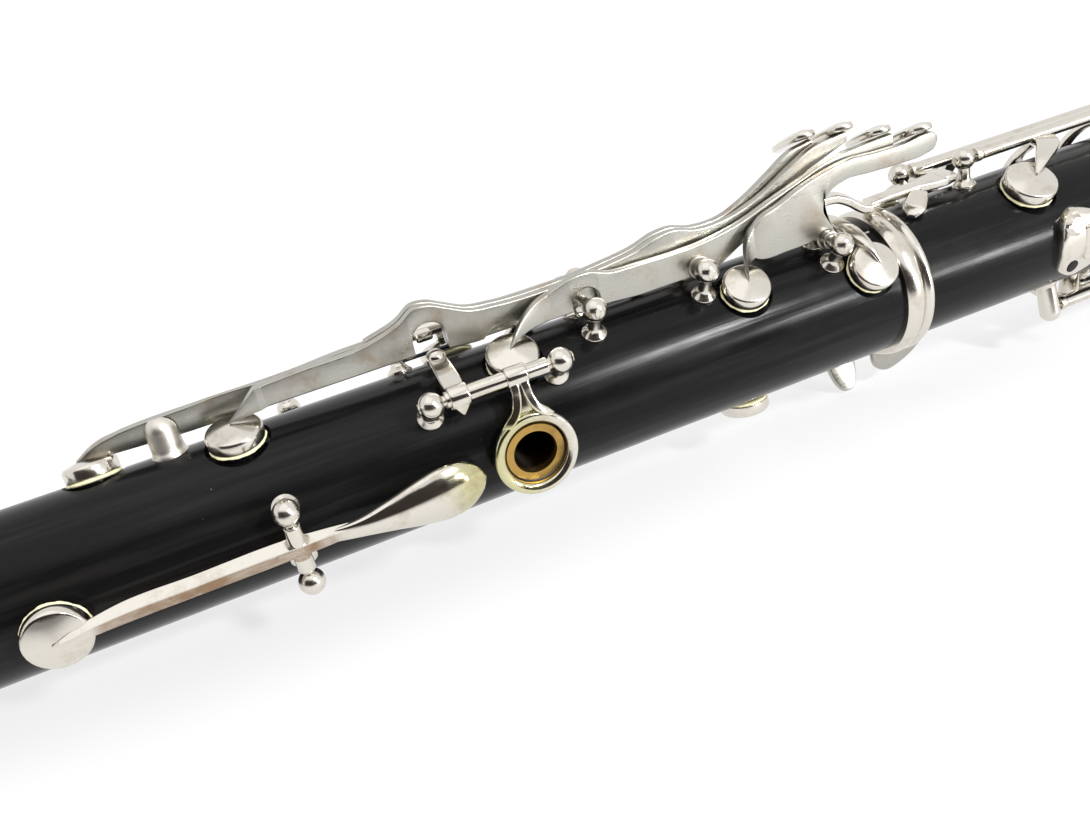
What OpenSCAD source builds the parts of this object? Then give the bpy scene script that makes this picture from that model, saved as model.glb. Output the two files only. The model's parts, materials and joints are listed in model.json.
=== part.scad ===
// Clarinet in B flat with seventeen keys and six rings, lying along the X axis.
// The bore axis is X, towards the bell, and x = 0 is the shoulder between the two joints.
// The thumb hole faces -Y, the side keys are on +Z and the finger holes face +Y.
// Angles around the body are in degrees from the thumb hole towards the side keys.

/* [Tubes] */
// Outside diameter of the upper joint
upper_d = 27; // [26:0.5:29]
// Length of the upper joint between its shoulders
upper_len = 195; // [185:1:210]
// Outside diameter of the lower joint
lower_d = 26.4; // [25.6:0.2:28.4]
// Length of the lower joint between its shoulders
lower_len = 226; // [220:1:245]
// Length of the bell below the lower joint
bell_len = 101; // [85:1:115]
// Diameter of the bell's rim
bell_d = 78; // [68:1:88]
// Diameter of the barrel at its rings
barrel_d = 33; // [31:0.5:36]
// Length of the barrel
barrel_len = 66; // [60:1:72]
// Length of the mouthpiece above the barrel
mouthpiece_len = 71.5; // [66:0.5:76]
// Diameter of the mouthpiece under the ligature
mouthpiece_d = 25.4; // [24.6:0.2:27]
// Wall of the bell at its rim
bell_wall = 2.6; // [2:0.2:4]

/* [Bore and tenons] */
// Bore of the upper joint
bore_d = 14.6; // [14:0.1:15]
// Bore of the lower joint above its flare
lower_bore_d = 15.2; // [15:0.1:15.8]
// Bore of the lower joint at the bell
bell_bore_d = 21.6; // [20:0.2:23]
// Length of the tenons
tenon_len = 17; // [14:0.5:19]
// Diameter of the upper joint's tenons
tenon_d = 21.2; // [20.6:0.1:22]
// Diameter of the lower joint's tenon
bell_tenon_d = 26; // [25.4:0.2:27]
// Radial gap between a tenon and its socket
socket_gap = 0.1; // [0.05:0.05:0.2]
// Height of the cork rings' seat below the tenon's surface
cork_depth = 1; // [0.6:0.1:1.2]

/* [Pads and cups] */
// Diameter of the small pad cups
cup_d = 9.8; // [9:0.1:10.6]
// Diameter of the register key's cup
register_cup_d = 10.4; // [10:0.1:11]
// Diameter of the large cups on the lower joint
large_cup_d = 16.4; // [15:0.2:17]
// Height of the pad's edge below the cup
pad_show = 0.9; // [0.5:0.1:1.2]
// Height of a cup's rim above the pad seat
cup_h = 3.2; // [2.8:0.1:3.6]
// Rise of the cup's cone from its rim to its point
cup_cone = 0.9; // [0.4:0.1:1.2]
// Thickness of a cup's wall
cup_wall = 0.5; // [0.4:0.05:0.7]
// Gap between a closed pad and its seat
pad_gap = 0.08; // [0.05:0.01:0.12]
// Depth of the pad seat below the body's surface
seat_depth = 0.5; // [0.3:0.1:0.8]

/* [Hinges] */
// Diameter of the hinge rods
rod_d = 1.8; // [1.5:0.1:2]
// Radial clearance of a key on its rod
hinge_gap = 0.05; // [0.03:0.01:0.08]
// Outside diameter of the hinge tubes
tube_d = 2.8; // [2.6:0.1:3.2]
// Diameter of the posts' balls
ball_d = 4.4; // [4:0.1:4.6]
// Diameter of the posts' feet
foot_d = 4.4; // [4:0.1:4.8]
// Height of the hinge axes above the body
axis_h = 5.8; // [5.4:0.1:6.2]
// Thickness of the curved straps of the keys
strap_t = 1.6; // [1.3:0.1:1.8]
// Gap between the end of a hinge tube and its post
end_gap = 0.2; // [0.15:0.05:0.3]

/* [Register key] */
// Place of the register vent along the bore
register_x = -156; // [-158:0.5:-154]
// Place of the register key's axis
register_axis_x = -119; // [-121:0.5:-117]
// Place of the tip of the register key's touch
register_tip_x = -87.3; // [-89:0.1:-87]
// Height of the register key's axis above the bore axis
register_axis_r = 17.5; // [17.3:0.1:18]
// Width of the register key's touch
register_touch_w = 9.6; // [8:0.1:11]

/* [Thumb ring] */
// Place of the thumb hole along the bore
thumb_x = -77.6; // [-78.5:0.1:-77]
// Outside diameter of the thumb tube
thumb_tube_d = 10.4; // [10:0.1:10.8]
// Inside diameter of the thumb tube
thumb_hole_d = 7.8; // [7:0.1:8.2]
// Height of the thumb tube above the body
thumb_tube_h = 2.1; // [1.8:0.1:2.4]
// Outside diameter of the thumb ring
thumb_ring_d = 15.2; // [14.6:0.1:15.4]
// Angle of the thumb ring key's rod
thumb_rod_a = 45.5; // [44:0.5:47]
// Angle through which the thumb ring is pressed
thumb_press = 5; // [3:0.5:6]

/* [Side keys] */
// Thickness of the side keys' plates
plate_t = 1.6; // [1.4:0.1:1.7]
// Place of the axis that side keys 1 and 2 share
side_axis_a = -59.7; // [-60.2:0.1:-59.2]
// Place of side key 3's axis
side_axis_b = -37.7; // [-38.2:0.1:-37.2]
// Place of side key 4's axis
side_axis_c = -12; // [-12.4:0.1:-11.6]
// Height of the axes of side keys 1, 2 and 3
side_axis_z = 17.7; // [17.6:0.1:18.2]
// Height of the axis of side key 4
side_axis_cz = 15.7; // [15.6:0.1:16]
// Radius of the arches that clear a neighbour's rod
arch_r = 2.7; // [2.6:0.1:2.9]
// Width of a side key's touch along the bore
touch_w = 5.8; // [5:0.1:6]
// Length of a side key's touch around the body
touch_l = 11; // [9:0.5:12]

/* [Ring keys] */
// Outside diameter of the finger rings
ring_d = 15; // [14.4:0.1:15.4]
// Inside diameter of the finger rings
ring_hole_d = 11.4; // [11:0.1:11.8]
// Diameter of a finger hole's chimney
chimney_d = 9.4; // [9:0.1:9.8]
// Height of a finger hole's chimney above the body
chimney_h = 2.3; // [2:0.1:2.6]
// Diameter of the finger holes
finger_hole_d = 7.4; // [6:0.1:7.8]
// Angle through which the ring keys are pressed
ring_press = 4.5; // [3:0.5:5]
// Places of the left hand's finger holes
left_hole_1 = -68; // [-68.5:0.5:-67.5]
left_hole_2 = -45; // [-45.5:0.5:-44.5]
left_hole_3 = -22.5; // [-23:0.5:-22]
// Places of the right hand's finger holes
right_hole_1 = 30; // [29.5:0.5:30.5]
right_hole_2 = 53; // [52.5:0.5:53.5]
right_hole_3 = 78; // [77.5:0.5:78.5]

/* [Thumb rest] */
// Place of the thumb rest's upper edge
rest_x = 36.5; // [36:0.5:38]
// Length of the thumb rest's plate
rest_len = 24; // [20:1:28]
// Half of the angle that the plate covers
rest_half = 31; // [26:1:34]
// Thickness of the thumb rest
rest_t = 1.7; // [1.4:0.1:2]
// Height of the thumb rest's hook above its plate
hook_h = 11; // [8:0.5:14]
// Width of the thumb rest's hook
hook_w = 14; // [10:0.5:16]

/* [Hidden] */
$fn = 48;

wood = [0.07, 0.07, 0.075];
plating = [0.78, 0.76, 0.70];
pad_skin = [0.90, 0.86, 0.62];
brass = [0.72, 0.55, 0.25];
cork = [0.72, 0.54, 0.36];
cane = [0.87, 0.77, 0.50];

// Radii and ends of the tubes
upper_r = upper_d / 2;
lower_r = lower_d / 2;
bore_r = bore_d / 2;
tenon_r = tenon_d / 2;
socket_r = tenon_r + socket_gap;
bell_tenon_r = bell_tenon_d / 2;
bell_socket_r = bell_tenon_r + socket_gap;
barrel_r = barrel_d / 2;
barrel_bore_r = bore_r + 0.3;
mouth_r = mouthpiece_d / 2;
mouth_tenon_len = tenon_len - 1;
top_x = -upper_len;
barrel_end = top_x - 0.1;
barrel_x = barrel_end - barrel_len;
tip_x = barrel_x - mouthpiece_len;
bell_x = lower_len;
rim_x = bell_x + bell_len;
socket_depth = tenon_len + 0.3;

// Hinge sizes and the axes' distance from the bore axis
rod_r = rod_d / 2;
tube_r = tube_d / 2;
strap_lap = 3;
ball_r = ball_d / 2;
foot_r = foot_d / 2;
upper_axis_r = upper_r + axis_h;
lower_axis_r = lower_r + axis_h - 0.2;
over = tube_r + 1;
pad_h = cup_h - cup_wall;
upper_seat = upper_r - seat_depth;
lower_seat = lower_r - seat_depth;
register_seat = upper_r + 1.5;
sink = 1.5;

// Angles of the rods around the body
ring_rod_a = 115;
sliver_rod_a = 235;
csharp_rod_a = 165;
throat_a_a = 172;
throat_gsharp_a = 206;
lower_ring_rod_a = 119;
b_fsharp_rod_a = 93;
aflat_rod_a = 98;
e_b_rod_a = 88;
f_c_rod_a = 112;
fsharp_rod_a = 255;
f_c_lever_a = 270;
e_b_lever_a = 285;

// Places of the posts along the rods
ring_posts = [-93, -56.4, -14];
thumb_posts = [-92.3, -69.4];
sliver_posts = [-55, -16];
csharp_posts = [-14.2, -2.6];
throat_a_x = -113;
throat_gsharp_x = -106;
cross_half = 6.75;
throat_half = 5.2;
lower_ring_posts = [17, 92];
b_fsharp_posts = [26, 70.5];
aflat_posts = [96, 112];
e_b_posts = [117, 204];
f_c_posts = [128, 174];
fsharp_posts = [62.4, 97.5, 153];
f_c_lever_posts = [54.6, 124];
e_b_lever_posts = [44.2, 152.5];
side_front_y = -7.7;
side_rear_y = 4.2;
side_c_front_y = -11.2;
side_c_rear_y = -2.7;

// Places of the tone holes: along the bore, around the body, diameter of the cup
side_1 = [-145.9, 111, cup_d - 0.8];
side_2 = [-122.6, 83, cup_d - 0.2];
side_3 = [-75.3, 66, cup_d - 0.4];
side_4 = [-30.5, 56.5, cup_d - 0.8];
csharp = [-5.6, 39, cup_d - 0.5];
eflat = [-30, 277, cup_d];
throat_a = [-150, throat_a_a, cup_d];
throat_gsharp = [-135, throat_gsharp_a, cup_d];
vent_1 = [-83, 136, cup_d];
vent_2 = [-33.5, 148, cup_d];
lower_vent = [13.5, 150, 11];
b_fsharp = [35, 60.5, 10.4];
aflat = [104, 66, large_cup_d];
fsharp = [141.5, 215, large_cup_d];
f_c = [163, 180, large_cup_d];
e_b = [194, 180, large_cup_d];

// Angle through which the open keys of the lower joint close
f_c_press = 7;
e_b_press = 6;
fsharp_press = 9;

// Side keys: distance of each plate's back from the bore axis, along Y
side_back = [1.4, -0.6, -3, -5.2];

// Moves a piece to a place along the bore, an angle around it and a distance from its axis
module out(x, a, r = 0) {
  translate([x, 0, 0])
    rotate([90 - a, 0, 0])
      translate([0, 0, r])
        children();
}

// Round bar along the bore, as a cylinder or a cone
module bar_x(xa, xb, ra, rb = -1) {
  translate([xa, 0, 0])
    rotate([0, 90, 0])
      cylinder(r1 = ra, r2 = rb < 0 ? ra : rb, h = xb - xa);
}

// Round bar across the body, along Y
module bar_y(x, z, ya, yb, r) {
  translate([x, ya, z])
    rotate([-90, 0, 0])
      cylinder(r = r, h = yb - ya);
}

// Round bar along the bore at a rod's place
module rod_x(xa, xb, a, r_axis, r) {
  out(0, a, r_axis)
    bar_x(xa, xb, r);
}

// Round bar that crosses the bore at right angles, at a distance from its axis
module rod_cross(x, a, r_axis, half, r) {
  out(x, a, r_axis)
    rotate([90, 0, 0])
      translate([0, 0, -half])
        cylinder(r = r, h = 2 * half);
}

// Band that bends around the body between two angles and two radii
module strap(x, w, aa, ab, ra, rb) {
  translate([x, 0, 0])
    rotate([90, 0, -90])
      rotate([0, 0, min(aa, ab)])
        rotate_extrude(angle = abs(ab - aa))
          translate([ra, -w / 2])
            square([rb - ra, w]);
}

// Flat bar along the bore between two radii
module bar_flat(xa, xb, a, w, ra, rb) {
  out(xa, a, ra)
    translate([0, -w / 2, 0])
      cube([xb - xa, w, rb - ra]);
}

// Turns a piece about a rod that lies along the bore
module turn(a, r_axis, angle) {
  y = -r_axis * cos(a);
  z = r_axis * sin(a);
  translate([0, y, z])
    rotate([angle, 0, 0])
      translate([0, -y, -z])
        children();
}

// Plate with round ends, long around the body
module oval(w, l, t) {
  linear_extrude(t) {
    square([w, l - w], center = true);
    translate([0, (l - w) / 2])
      circle(d = w);
    translate([0, (w - l) / 2])
      circle(d = w);
  }
}

// Post with a flared foot, a neck and a ball
module post(x, a, r_body, r_ball) {
  out(x, a) {
    translate([0, 0, r_body - sink])
      cylinder(r = 0.5 * foot_r, h = r_ball - r_body + sink);
    translate([0, 0, r_body - 0.5])
      cylinder(r = foot_r, h = 1);
    translate([0, 0, r_body + 0.5])
      cylinder(r1 = foot_r, r2 = 0.5 * foot_r, h = 0.9);
    translate([0, 0, r_ball])
      sphere(r = ball_r);
  }
}

// Straight post with a round end that stands past its rod
pillar_r = 2.1;
module pillar(x, a, r_body, r_axis) {
  out(x, a) {
    translate([0, 0, r_body - sink])
      cylinder(r = pillar_r, h = r_axis - r_body + sink + 0.9);
    translate([0, 0, r_axis + 0.9])
      sphere(r = pillar_r);
  }
}

// Post whose ball is at a given height and side
module post_yz(x, y, z, r_body) {
  post(x, atan2(z, -y), r_body, norm([y, z]));
}

// Posts at both ends of a rod that crosses the bore
module cross_posts(x, a, r_axis, half, r_body) {
  for (side = [-1, 1])
    post(x, a + atan(side * half / r_axis), r_body, norm([half, r_axis]));
}

// Cup over a pad, with its cone
module cup(place, seat) {
  r = place[2] / 2;
  out(place[0], place[1], seat)
    rotate_extrude()
      polygon([[0, pad_h], [r - cup_wall, pad_h], [r - cup_wall, pad_show], [r, pad_show],
        [r, cup_h - cup_wall], [r - cup_wall, cup_h], [0, cup_h + cup_cone]]);
}

// Pad in its cup
module pad(place, seat) {
  color(pad_skin)
    out(place[0], place[1], seat + pad_gap)
      cylinder(d = place[2] - 2 * cup_wall - 0.2, h = pad_h - pad_gap);
}

// Stub that joins a cup's point to the strap or plate above it
module cup_stem(place, seat, h, r = 1.3) {
  out(place[0], place[1], seat + cup_h - 0.2)
    cylinder(r = r, h = h);
}

// Tone hole with the countersink around its seat, to be cut from a joint
module tone_hole(place, r_body, hole_share = 0.5) {
  r = place[2] / 2;
  out(place[0], place[1])
    cylinder(r = r * hole_share, h = r_body + 2);
  out(place[0], place[1], r_body - 1.7)
    difference() {
      cylinder(r = r + 0.7, h = 4);
      translate([0, 0, -1])
        cylinder(r = r * hole_share + 1.3, h = 2.7 - seat_depth);
    }
}

// Rim on which a pad closes, where the round body falls away
module tone_rim(place, r_body, hole_share = 0.5) {
  out(place[0], place[1], bell_bore_d / 2)
    cylinder(r = place[2] / 2 * hole_share + 1.3, h = r_body - seat_depth - bell_bore_d / 2);
}

// Raised rim of a finger hole
module chimney(x, r_body) {
  out(x, 180, bore_r + 1)
    cylinder(d = chimney_d, h = r_body + chimney_h - bore_r - 1);
}

// Finger hole, to be cut from a joint
module finger_hole(x, r_body) {
  out(x, 180)
    cylinder(d = finger_hole_d, h = r_body + chimney_h + 1);
}

// Ring around a finger hole, flush with its chimney
module finger_ring(x, a, r_top, d, hole_d, t) {
  out(x, a, r_top - t)
    difference() {
      cylinder(d = d, h = t);
      translate([0, 0, -1])
        cylinder(d = hole_d, h = t + 2);
    }
}

// Smooth curve through points
function blend(p, q, r, s, t) =
  0.5 * (2 * q + (r - p) * t + (2 * p - 5 * q + 4 * r - s) * t * t + (3 * q - p - 3 * r + s) * t * t * t);
function curve(p, n = 3) =
  concat([for (i = [0:len(p) - 2]) for (k = [0:n - 1])
    blend(p[max(i - 1, 0)], p[i], p[i + 1], p[min(i + 2, len(p) - 1)], k / n)], [p[len(p) - 1]]);

// Flare of the bell between two radii, as points along the bore
function flare(ra, rb, xa, xb, power, n = 14) =
  [for (i = [0:n]) [ra + (rb - ra) * pow(i / n, power), xa + (xb - xa) * i / n]];

// Points in the opposite order
function turned_round(p) = [for (i = [len(p) - 1:-1:0]) p[i]];

// Solid of revolution about the bore from points that give radius and place
module turned(points) {
  rotate([0, 90, 0])
    rotate_extrude($fn = 96)
      polygon(points);
}

// Mouthpiece, with a sloping beak on +Y and a flat table for the reed on -Y
table_y = -8.2;
lig_x = barrel_x - 36;
lig_len = 25;
beak_x = lig_x - 3;
module mouthpiece() {
  slope = atan2(mouth_r + 2, beak_x - tip_x);
  roof = table_y - 1 + (lig_x - 4 - tip_x) * tan(slope);
  color(wood)
    difference() {
      union() {
        bar_x(tip_x, lig_x + lig_len + 2, mouth_r);
        bar_x(lig_x + lig_len + 2, barrel_x, mouth_r + 1, mouth_r + 1.6);
        bar_x(barrel_x - 1, barrel_x + mouth_tenon_len, tenon_r);
      }
      bar_x(lig_x + 2, barrel_x + mouth_tenon_len + 1, barrel_bore_r);
      translate([tip_x - 1, table_y - 20, -20])
        cube([lig_x + lig_len - tip_x - 2, 20, 40]);
      translate([tip_x, table_y + 0.9, -20])
        rotate([0, 0, slope])
          translate([-2, 0, 0])
            cube([80, 30, 40]);
      translate([0, 0, -5.6])
        linear_extrude(11.2)
          polygon([[tip_x + 5, table_y - 1], [lig_x - 4, table_y - 1], [lig_x - 4, table_y + 2.2],
            [lig_x + 4, table_y + 2.2], [lig_x + 4, roof], [lig_x - 4, roof],
            [tip_x + 5, table_y - 1 + 5 * tan(slope)]]);
      translate([barrel_x + 3, 0, 0])
        cork_seat(mouth_tenon_len - 6);
    }
}

// Groove for a cork ring, from x = 0
module cork_seat(len) {
  difference() {
    bar_x(0, len, tenon_r + 1);
    bar_x(-1, len + 1, tenon_r - cork_depth);
  }
}

// Cork ring that fills its groove and the gap to the socket
module cork_ring(xa, xb, r) {
  difference() {
    bar_x(xa, xb, r + socket_gap - 0.02);
    bar_x(xa - 1, xb + 1, r - cork_depth);
  }
}

module mouthpiece_cork() {
  color(cork)
    cork_ring(barrel_x + 3, barrel_x + mouth_tenon_len - 3, tenon_r);
}

// Reed, flat on the table, thick at its heel and thin at its tip
reed_t = 2.9;
module reed() {
  color(cane)
    intersection() {
      translate([0, 0, -6.4])
        linear_extrude(12.8)
          polygon([[tip_x, table_y], [lig_x + lig_len - 4, table_y],
            [lig_x + lig_len - 4, table_y - reed_t], [lig_x + 2, table_y - reed_t],
            [tip_x + 14, table_y - 0.9], [tip_x, table_y - 0.25]]);
      bar_x(tip_x - 1, barrel_x, mouth_r - 0.1);
    }
}

// Ligature band with its lugs on the reed's side
lug_y = -mouth_r - 3.4;
module ligature_band() {
  color(plating)
    difference() {
      union() {
        bar_x(lig_x, lig_x + lig_len - 2, mouth_r + 0.9);
        for (x = [lig_x + 6, lig_x + 17])
          for (side = [-1, 1])
            translate([x - 2.5, lug_y - 2.6, side * 4 - 1.2])
              cube([5, 6.4, 2.4]);
      }
      bar_x(lig_x - 1, lig_x + lig_len, mouth_r + 0.05);
      translate([lig_x - 1, -mouth_r - 2, -2.8])
        cube([lig_len + 2, 4, 5.6]);
      for (x = [lig_x + 6, lig_x + 17])
        translate([x, lug_y, -8])
          cylinder(r = 1.3, h = 16);
    }
}

module ligature_screws() {
  color(plating)
    for (x = [lig_x + 6, lig_x + 17])
      translate([x, lug_y, 0]) {
        translate([0, 0, -6.4])
          cylinder(r = 1.25, h = 13);
        translate([0, 0, 5.4])
          cylinder(r = 2.4, h = 1.4);
        translate([0, 0, 6.6])
          cylinder(r = 3.6, h = 5);
      }
}

ring_w = 5.5;
module barrel() {
  color(wood)
    difference() {
      turned([[barrel_bore_r, barrel_x], [barrel_r - 1, barrel_x], [barrel_r - 1, barrel_x + ring_w],
        [barrel_r, barrel_x + ring_w], [barrel_r, barrel_x + ring_w + 2],
        [barrel_r - 1.2, barrel_x + 20], [barrel_r - 1.2, barrel_end - 20],
        [barrel_r, barrel_end - ring_w - 2], [barrel_r, barrel_end - ring_w], [barrel_r - 1, barrel_end - ring_w],
        [barrel_r - 1, barrel_end], [barrel_bore_r, barrel_end]]);
      bar_x(barrel_x - 1, barrel_x + mouth_tenon_len + 0.3, socket_r);
      bar_x(top_x - socket_depth, barrel_end + 1, socket_r);
    }
}

module barrel_rings() {
  color(plating)
    for (x = [barrel_x, barrel_end - ring_w])
      turned([[barrel_r - 1, x], [barrel_r + 0.1, x], [barrel_r + 0.4, x + 0.6],
        [barrel_r + 0.4, x + ring_w - 0.6], [barrel_r + 0.1, x + ring_w], [barrel_r - 1, x + ring_w]]);
}

// Upper joint with its tenons, finger holes and tone holes
module upper_joint() {
  color(wood)
    difference() {
      union() {
        bar_x(top_x, 0, upper_r);
        bar_x(top_x - tenon_len, top_x + 1, tenon_r);
        bar_x(-1, tenon_len, tenon_r);
        for (x = [left_hole_1, left_hole_2, left_hole_3])
          chimney(x, upper_r);
      }
      bar_x(top_x - tenon_len - 1, tenon_len + 1, bore_r);
      translate([top_x - tenon_len + 3, 0, 0])
        cork_seat(tenon_len - 6);
      translate([3, 0, 0])
        cork_seat(tenon_len - 6);
      for (x = [left_hole_1, left_hole_2, left_hole_3])
        finger_hole(x, upper_r);
      for (place = [side_1, side_2, side_3, side_4, csharp, eflat, throat_a, throat_gsharp, vent_1, vent_2])
        tone_hole(place, upper_r);
      out(thumb_x, 0)
        cylinder(d = thumb_tube_d, h = upper_r + 1);
      out(register_x, 0)
        cylinder(d = register_tube_d, h = upper_r + 1);
    }
}

// Lower joint with its sockets, flare, finger holes and tone holes
lower_flare_x = lower_len - 46;
module lower_joint() {
  color(wood)
    difference() {
      union() {
        turned([[lower_bore_d / 2 - 2, 0], [lower_r - 1, 0], [lower_r - 1, socket_ring_w],
          [lower_r, socket_ring_w], [lower_r, lower_flare_x], [lower_r + 0.4, lower_flare_x + 18],
          [lower_r + 1.5, lower_flare_x + 34], [bell_tenon_r + 3, bell_x], [bell_tenon_r, bell_x],
          [bell_tenon_r, bell_x + tenon_len], [lower_bore_d / 2 - 2, bell_x + tenon_len]]);
        for (x = [right_hole_1, right_hole_2, right_hole_3])
          chimney(x, lower_r);
        for (place = [aflat, fsharp, f_c, e_b])
          tone_rim(place, lower_r, 0.7);
      }
      bar_x(-1, socket_depth, socket_r);
      bar_x(-1, lower_flare_x - 60, lower_bore_d / 2);
      bar_x(lower_flare_x - 60.01, bell_x + tenon_len + 0.01, lower_bore_d / 2, bell_bore_d / 2);
      difference() {
        bar_x(bell_x + 3, bell_x + tenon_len - 3, bell_tenon_r + 1);
        bar_x(bell_x + 2, bell_x + tenon_len, bell_tenon_r - cork_depth);
      }
      for (x = [right_hole_1, right_hole_2, right_hole_3])
        finger_hole(x, lower_r);
      for (place = [lower_vent, b_fsharp])
        tone_hole(place, lower_r);
      for (place = [aflat, fsharp, f_c, e_b])
        tone_hole(place, lower_r, 0.7);
    }
}

// Bell: socket, bore and flare
bell_top_r = bell_socket_r + 3.6;
bell_in_r = bell_bore_d / 2 + 0.1;
bell_in_x = bell_x + socket_depth + 6;
module bell() {
  color(wood)
    turned(concat(
      [[bell_socket_r, bell_x], [bell_top_r - 1, bell_x], [bell_top_r - 1, bell_x + ring_w],
        [bell_top_r, bell_x + ring_w]],
      flare(bell_top_r, bell_d / 2 - 0.6, bell_x + ring_w + 2, rim_x - 3, 2.4),
      [[bell_d / 2 - 0.6, rim_x]],
      turned_round(flare(bell_in_r, bell_d / 2 - bell_wall, bell_in_x, rim_x, 2.6)),
      [[bell_in_r, bell_x + socket_depth], [bell_socket_r, bell_x + socket_depth]]));
}

module tenon_corks() {
  color(cork) {
    cork_ring(top_x - tenon_len + 3, top_x - 3, tenon_r);
    cork_ring(3, tenon_len - 3, tenon_r);
    cork_ring(bell_x + 3, bell_x + tenon_len - 3, bell_tenon_r);
  }
}

// Brass thumb tube and register tube, flush with the bore
register_tube_d = 4.6;
register_bore_d = 3;
module hole_tubes() {
  color(brass)
    difference() {
      union() {
        out(thumb_x, 0)
          cylinder(d = thumb_tube_d, h = upper_r + thumb_tube_h);
        out(register_x, 0)
          cylinder(d = register_tube_d, h = register_seat);
      }
      bar_x(register_x - 10, thumb_x + 10, bore_r);
      out(thumb_x, 0)
        cylinder(d = thumb_hole_d, h = upper_r + 10);
      out(register_x, 0)
        cylinder(d = register_bore_d, h = upper_r + 10);
    }
}

// Metal rings: socket ring with three beads, bell socket ring, bell rim ring
socket_ring_w = 6;
bead_r = 0.9;
module joint_rings() {
  color(plating) {
    difference() {
      union() {
        bar_x(0, socket_ring_w, lower_r + 0.9);
        for (x = [bead_r, socket_ring_w / 2, socket_ring_w - bead_r])
          translate([x, 0, 0])
            rotate([0, 90, 0])
              rotate_extrude($fn = 96)
                translate([lower_r + 0.9, 0])
                  circle(r = bead_r, $fn = 24);
      }
      bar_x(-1, socket_ring_w + 1, lower_r - 1);
    }
    turned([[bell_top_r - 1, bell_x], [bell_top_r + 0.4, bell_x], [bell_top_r + 0.8, bell_x + 1],
      [bell_top_r + 0.8, bell_x + ring_w - 1], [bell_top_r + 0.4, bell_x + ring_w],
      [bell_top_r - 1, bell_x + ring_w]]);
    turned([[bell_d / 2 - 0.6, rim_x - 3], [bell_d / 2, rim_x - 2.6], [bell_d / 2, rim_x],
      [bell_d / 2 - 0.6, rim_x]]);
  }
}

// Thumb rest: a plate bent to the body and a hook that sweeps away from it
rest_screw_a = 17;
rest_screw_x = rest_x + 3.2;
waist = 4.6;
module thumb_rest() {
  y0 = -lower_r - rest_t;
  spine = curve([[rest_x + 6, y0 + 0.6], [rest_x + 14, y0 - 1.2], [rest_x + 21, y0 - 0.4 * hook_h],
    [rest_x + 24, y0 - hook_h]], 5);
  color(plating)
    difference() {
      union() {
        intersection() {
          strap(rest_x + rest_len / 2, rest_len, -rest_half, rest_half, lower_r + 0.02, lower_r + rest_t);
          rotate([90, 0, 0])
            linear_extrude(2 * lower_r)
              polygon(concat(
                curve([[rest_x + 11, waist], [rest_x + 7.5, 6.4], [rest_x + 4.2, 7.1], [rest_x + 1.6, 5.6], [rest_x + 0.4, 3],
                  [rest_x, 0], [rest_x + 0.4, -3], [rest_x + 1.6, -5.6], [rest_x + 4.2, -7.1], [rest_x + 7.5, -6.4],
                  [rest_x + 11, -waist]]),
                [[rest_x + rest_len + 1, -waist], [rest_x + rest_len + 1, waist]]));
        }
        translate([0, 0, -hook_w / 2])
          linear_extrude(hook_w)
            polygon(concat(spine, [for (q = turned_round(spine)) q + [2, 0.6]]));
      }
      for (a = [-rest_screw_a, rest_screw_a])
        out(rest_screw_x, a)
          cylinder(r = 1.3, h = 2 * lower_r);
    }
}

module thumb_rest_screws() {
  color(plating)
    out(rest_screw_x, rest_screw_a)
      difference() {
        union() {
          translate([0, 0, lower_r - 4])
            cylinder(r = 1.25, h = 4.2 + rest_t);
          translate([0, 0, lower_r + rest_t])
            cylinder(r1 = 2.2, r2 = 1.5, h = 1);
        }
        translate([-3, -0.3, lower_r + rest_t + 0.5])
          cube([6, 0.6, 2]);
      }
}

module upper_posts() {
  color(plating) {
    cross_posts(register_axis_x, 0, register_axis_r, cross_half, upper_r);
    cross_posts(throat_a_x, throat_a_a, register_axis_r, throat_half, upper_r);
    cross_posts(throat_gsharp_x, throat_gsharp_a, register_axis_r, throat_half, upper_r);
    for (x = thumb_posts)
      post(x, thumb_rod_a, upper_r, upper_axis_r);
    for (x = ring_posts)
      post(x, ring_rod_a, upper_r, upper_axis_r);
    for (x = sliver_posts)
      post(x, sliver_rod_a, upper_r, upper_axis_r);
    for (x = csharp_posts)
      post(x, csharp_rod_a, upper_r, csharp_axis_r);
    for (x = [side_axis_a, side_axis_b])
      for (y = [side_front_y, side_rear_y])
        post_yz(x, y, side_axis_z, upper_r);
    for (y = [side_c_front_y, side_c_rear_y])
      post_yz(side_axis_c, y, side_axis_cz, upper_r);
  }
}

csharp_axis_r = upper_r + 4.5;
module upper_rods() {
  color(plating) {
    rod_cross(register_axis_x, 0, register_axis_r, cross_half, rod_r);
    rod_cross(throat_a_x, throat_a_a, register_axis_r, throat_half, rod_r);
    rod_cross(throat_gsharp_x, throat_gsharp_a, register_axis_r, throat_half, rod_r);
    rod_x(thumb_posts[0], thumb_posts[1], thumb_rod_a, upper_axis_r, rod_r);
    rod_x(ring_posts[0], ring_posts[2], ring_rod_a, upper_axis_r, rod_r);
    rod_x(sliver_posts[0], sliver_posts[1], sliver_rod_a, upper_axis_r, rod_r);
    rod_x(csharp_posts[0], csharp_posts[1], csharp_rod_a, csharp_axis_r, rod_r);
    for (x = [side_axis_a, side_axis_b])
      bar_y(x, side_axis_z, side_front_y, side_rear_y, rod_r);
    bar_y(side_axis_c, side_axis_cz, side_c_front_y, side_c_rear_y, rod_r);
  }
}

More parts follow.
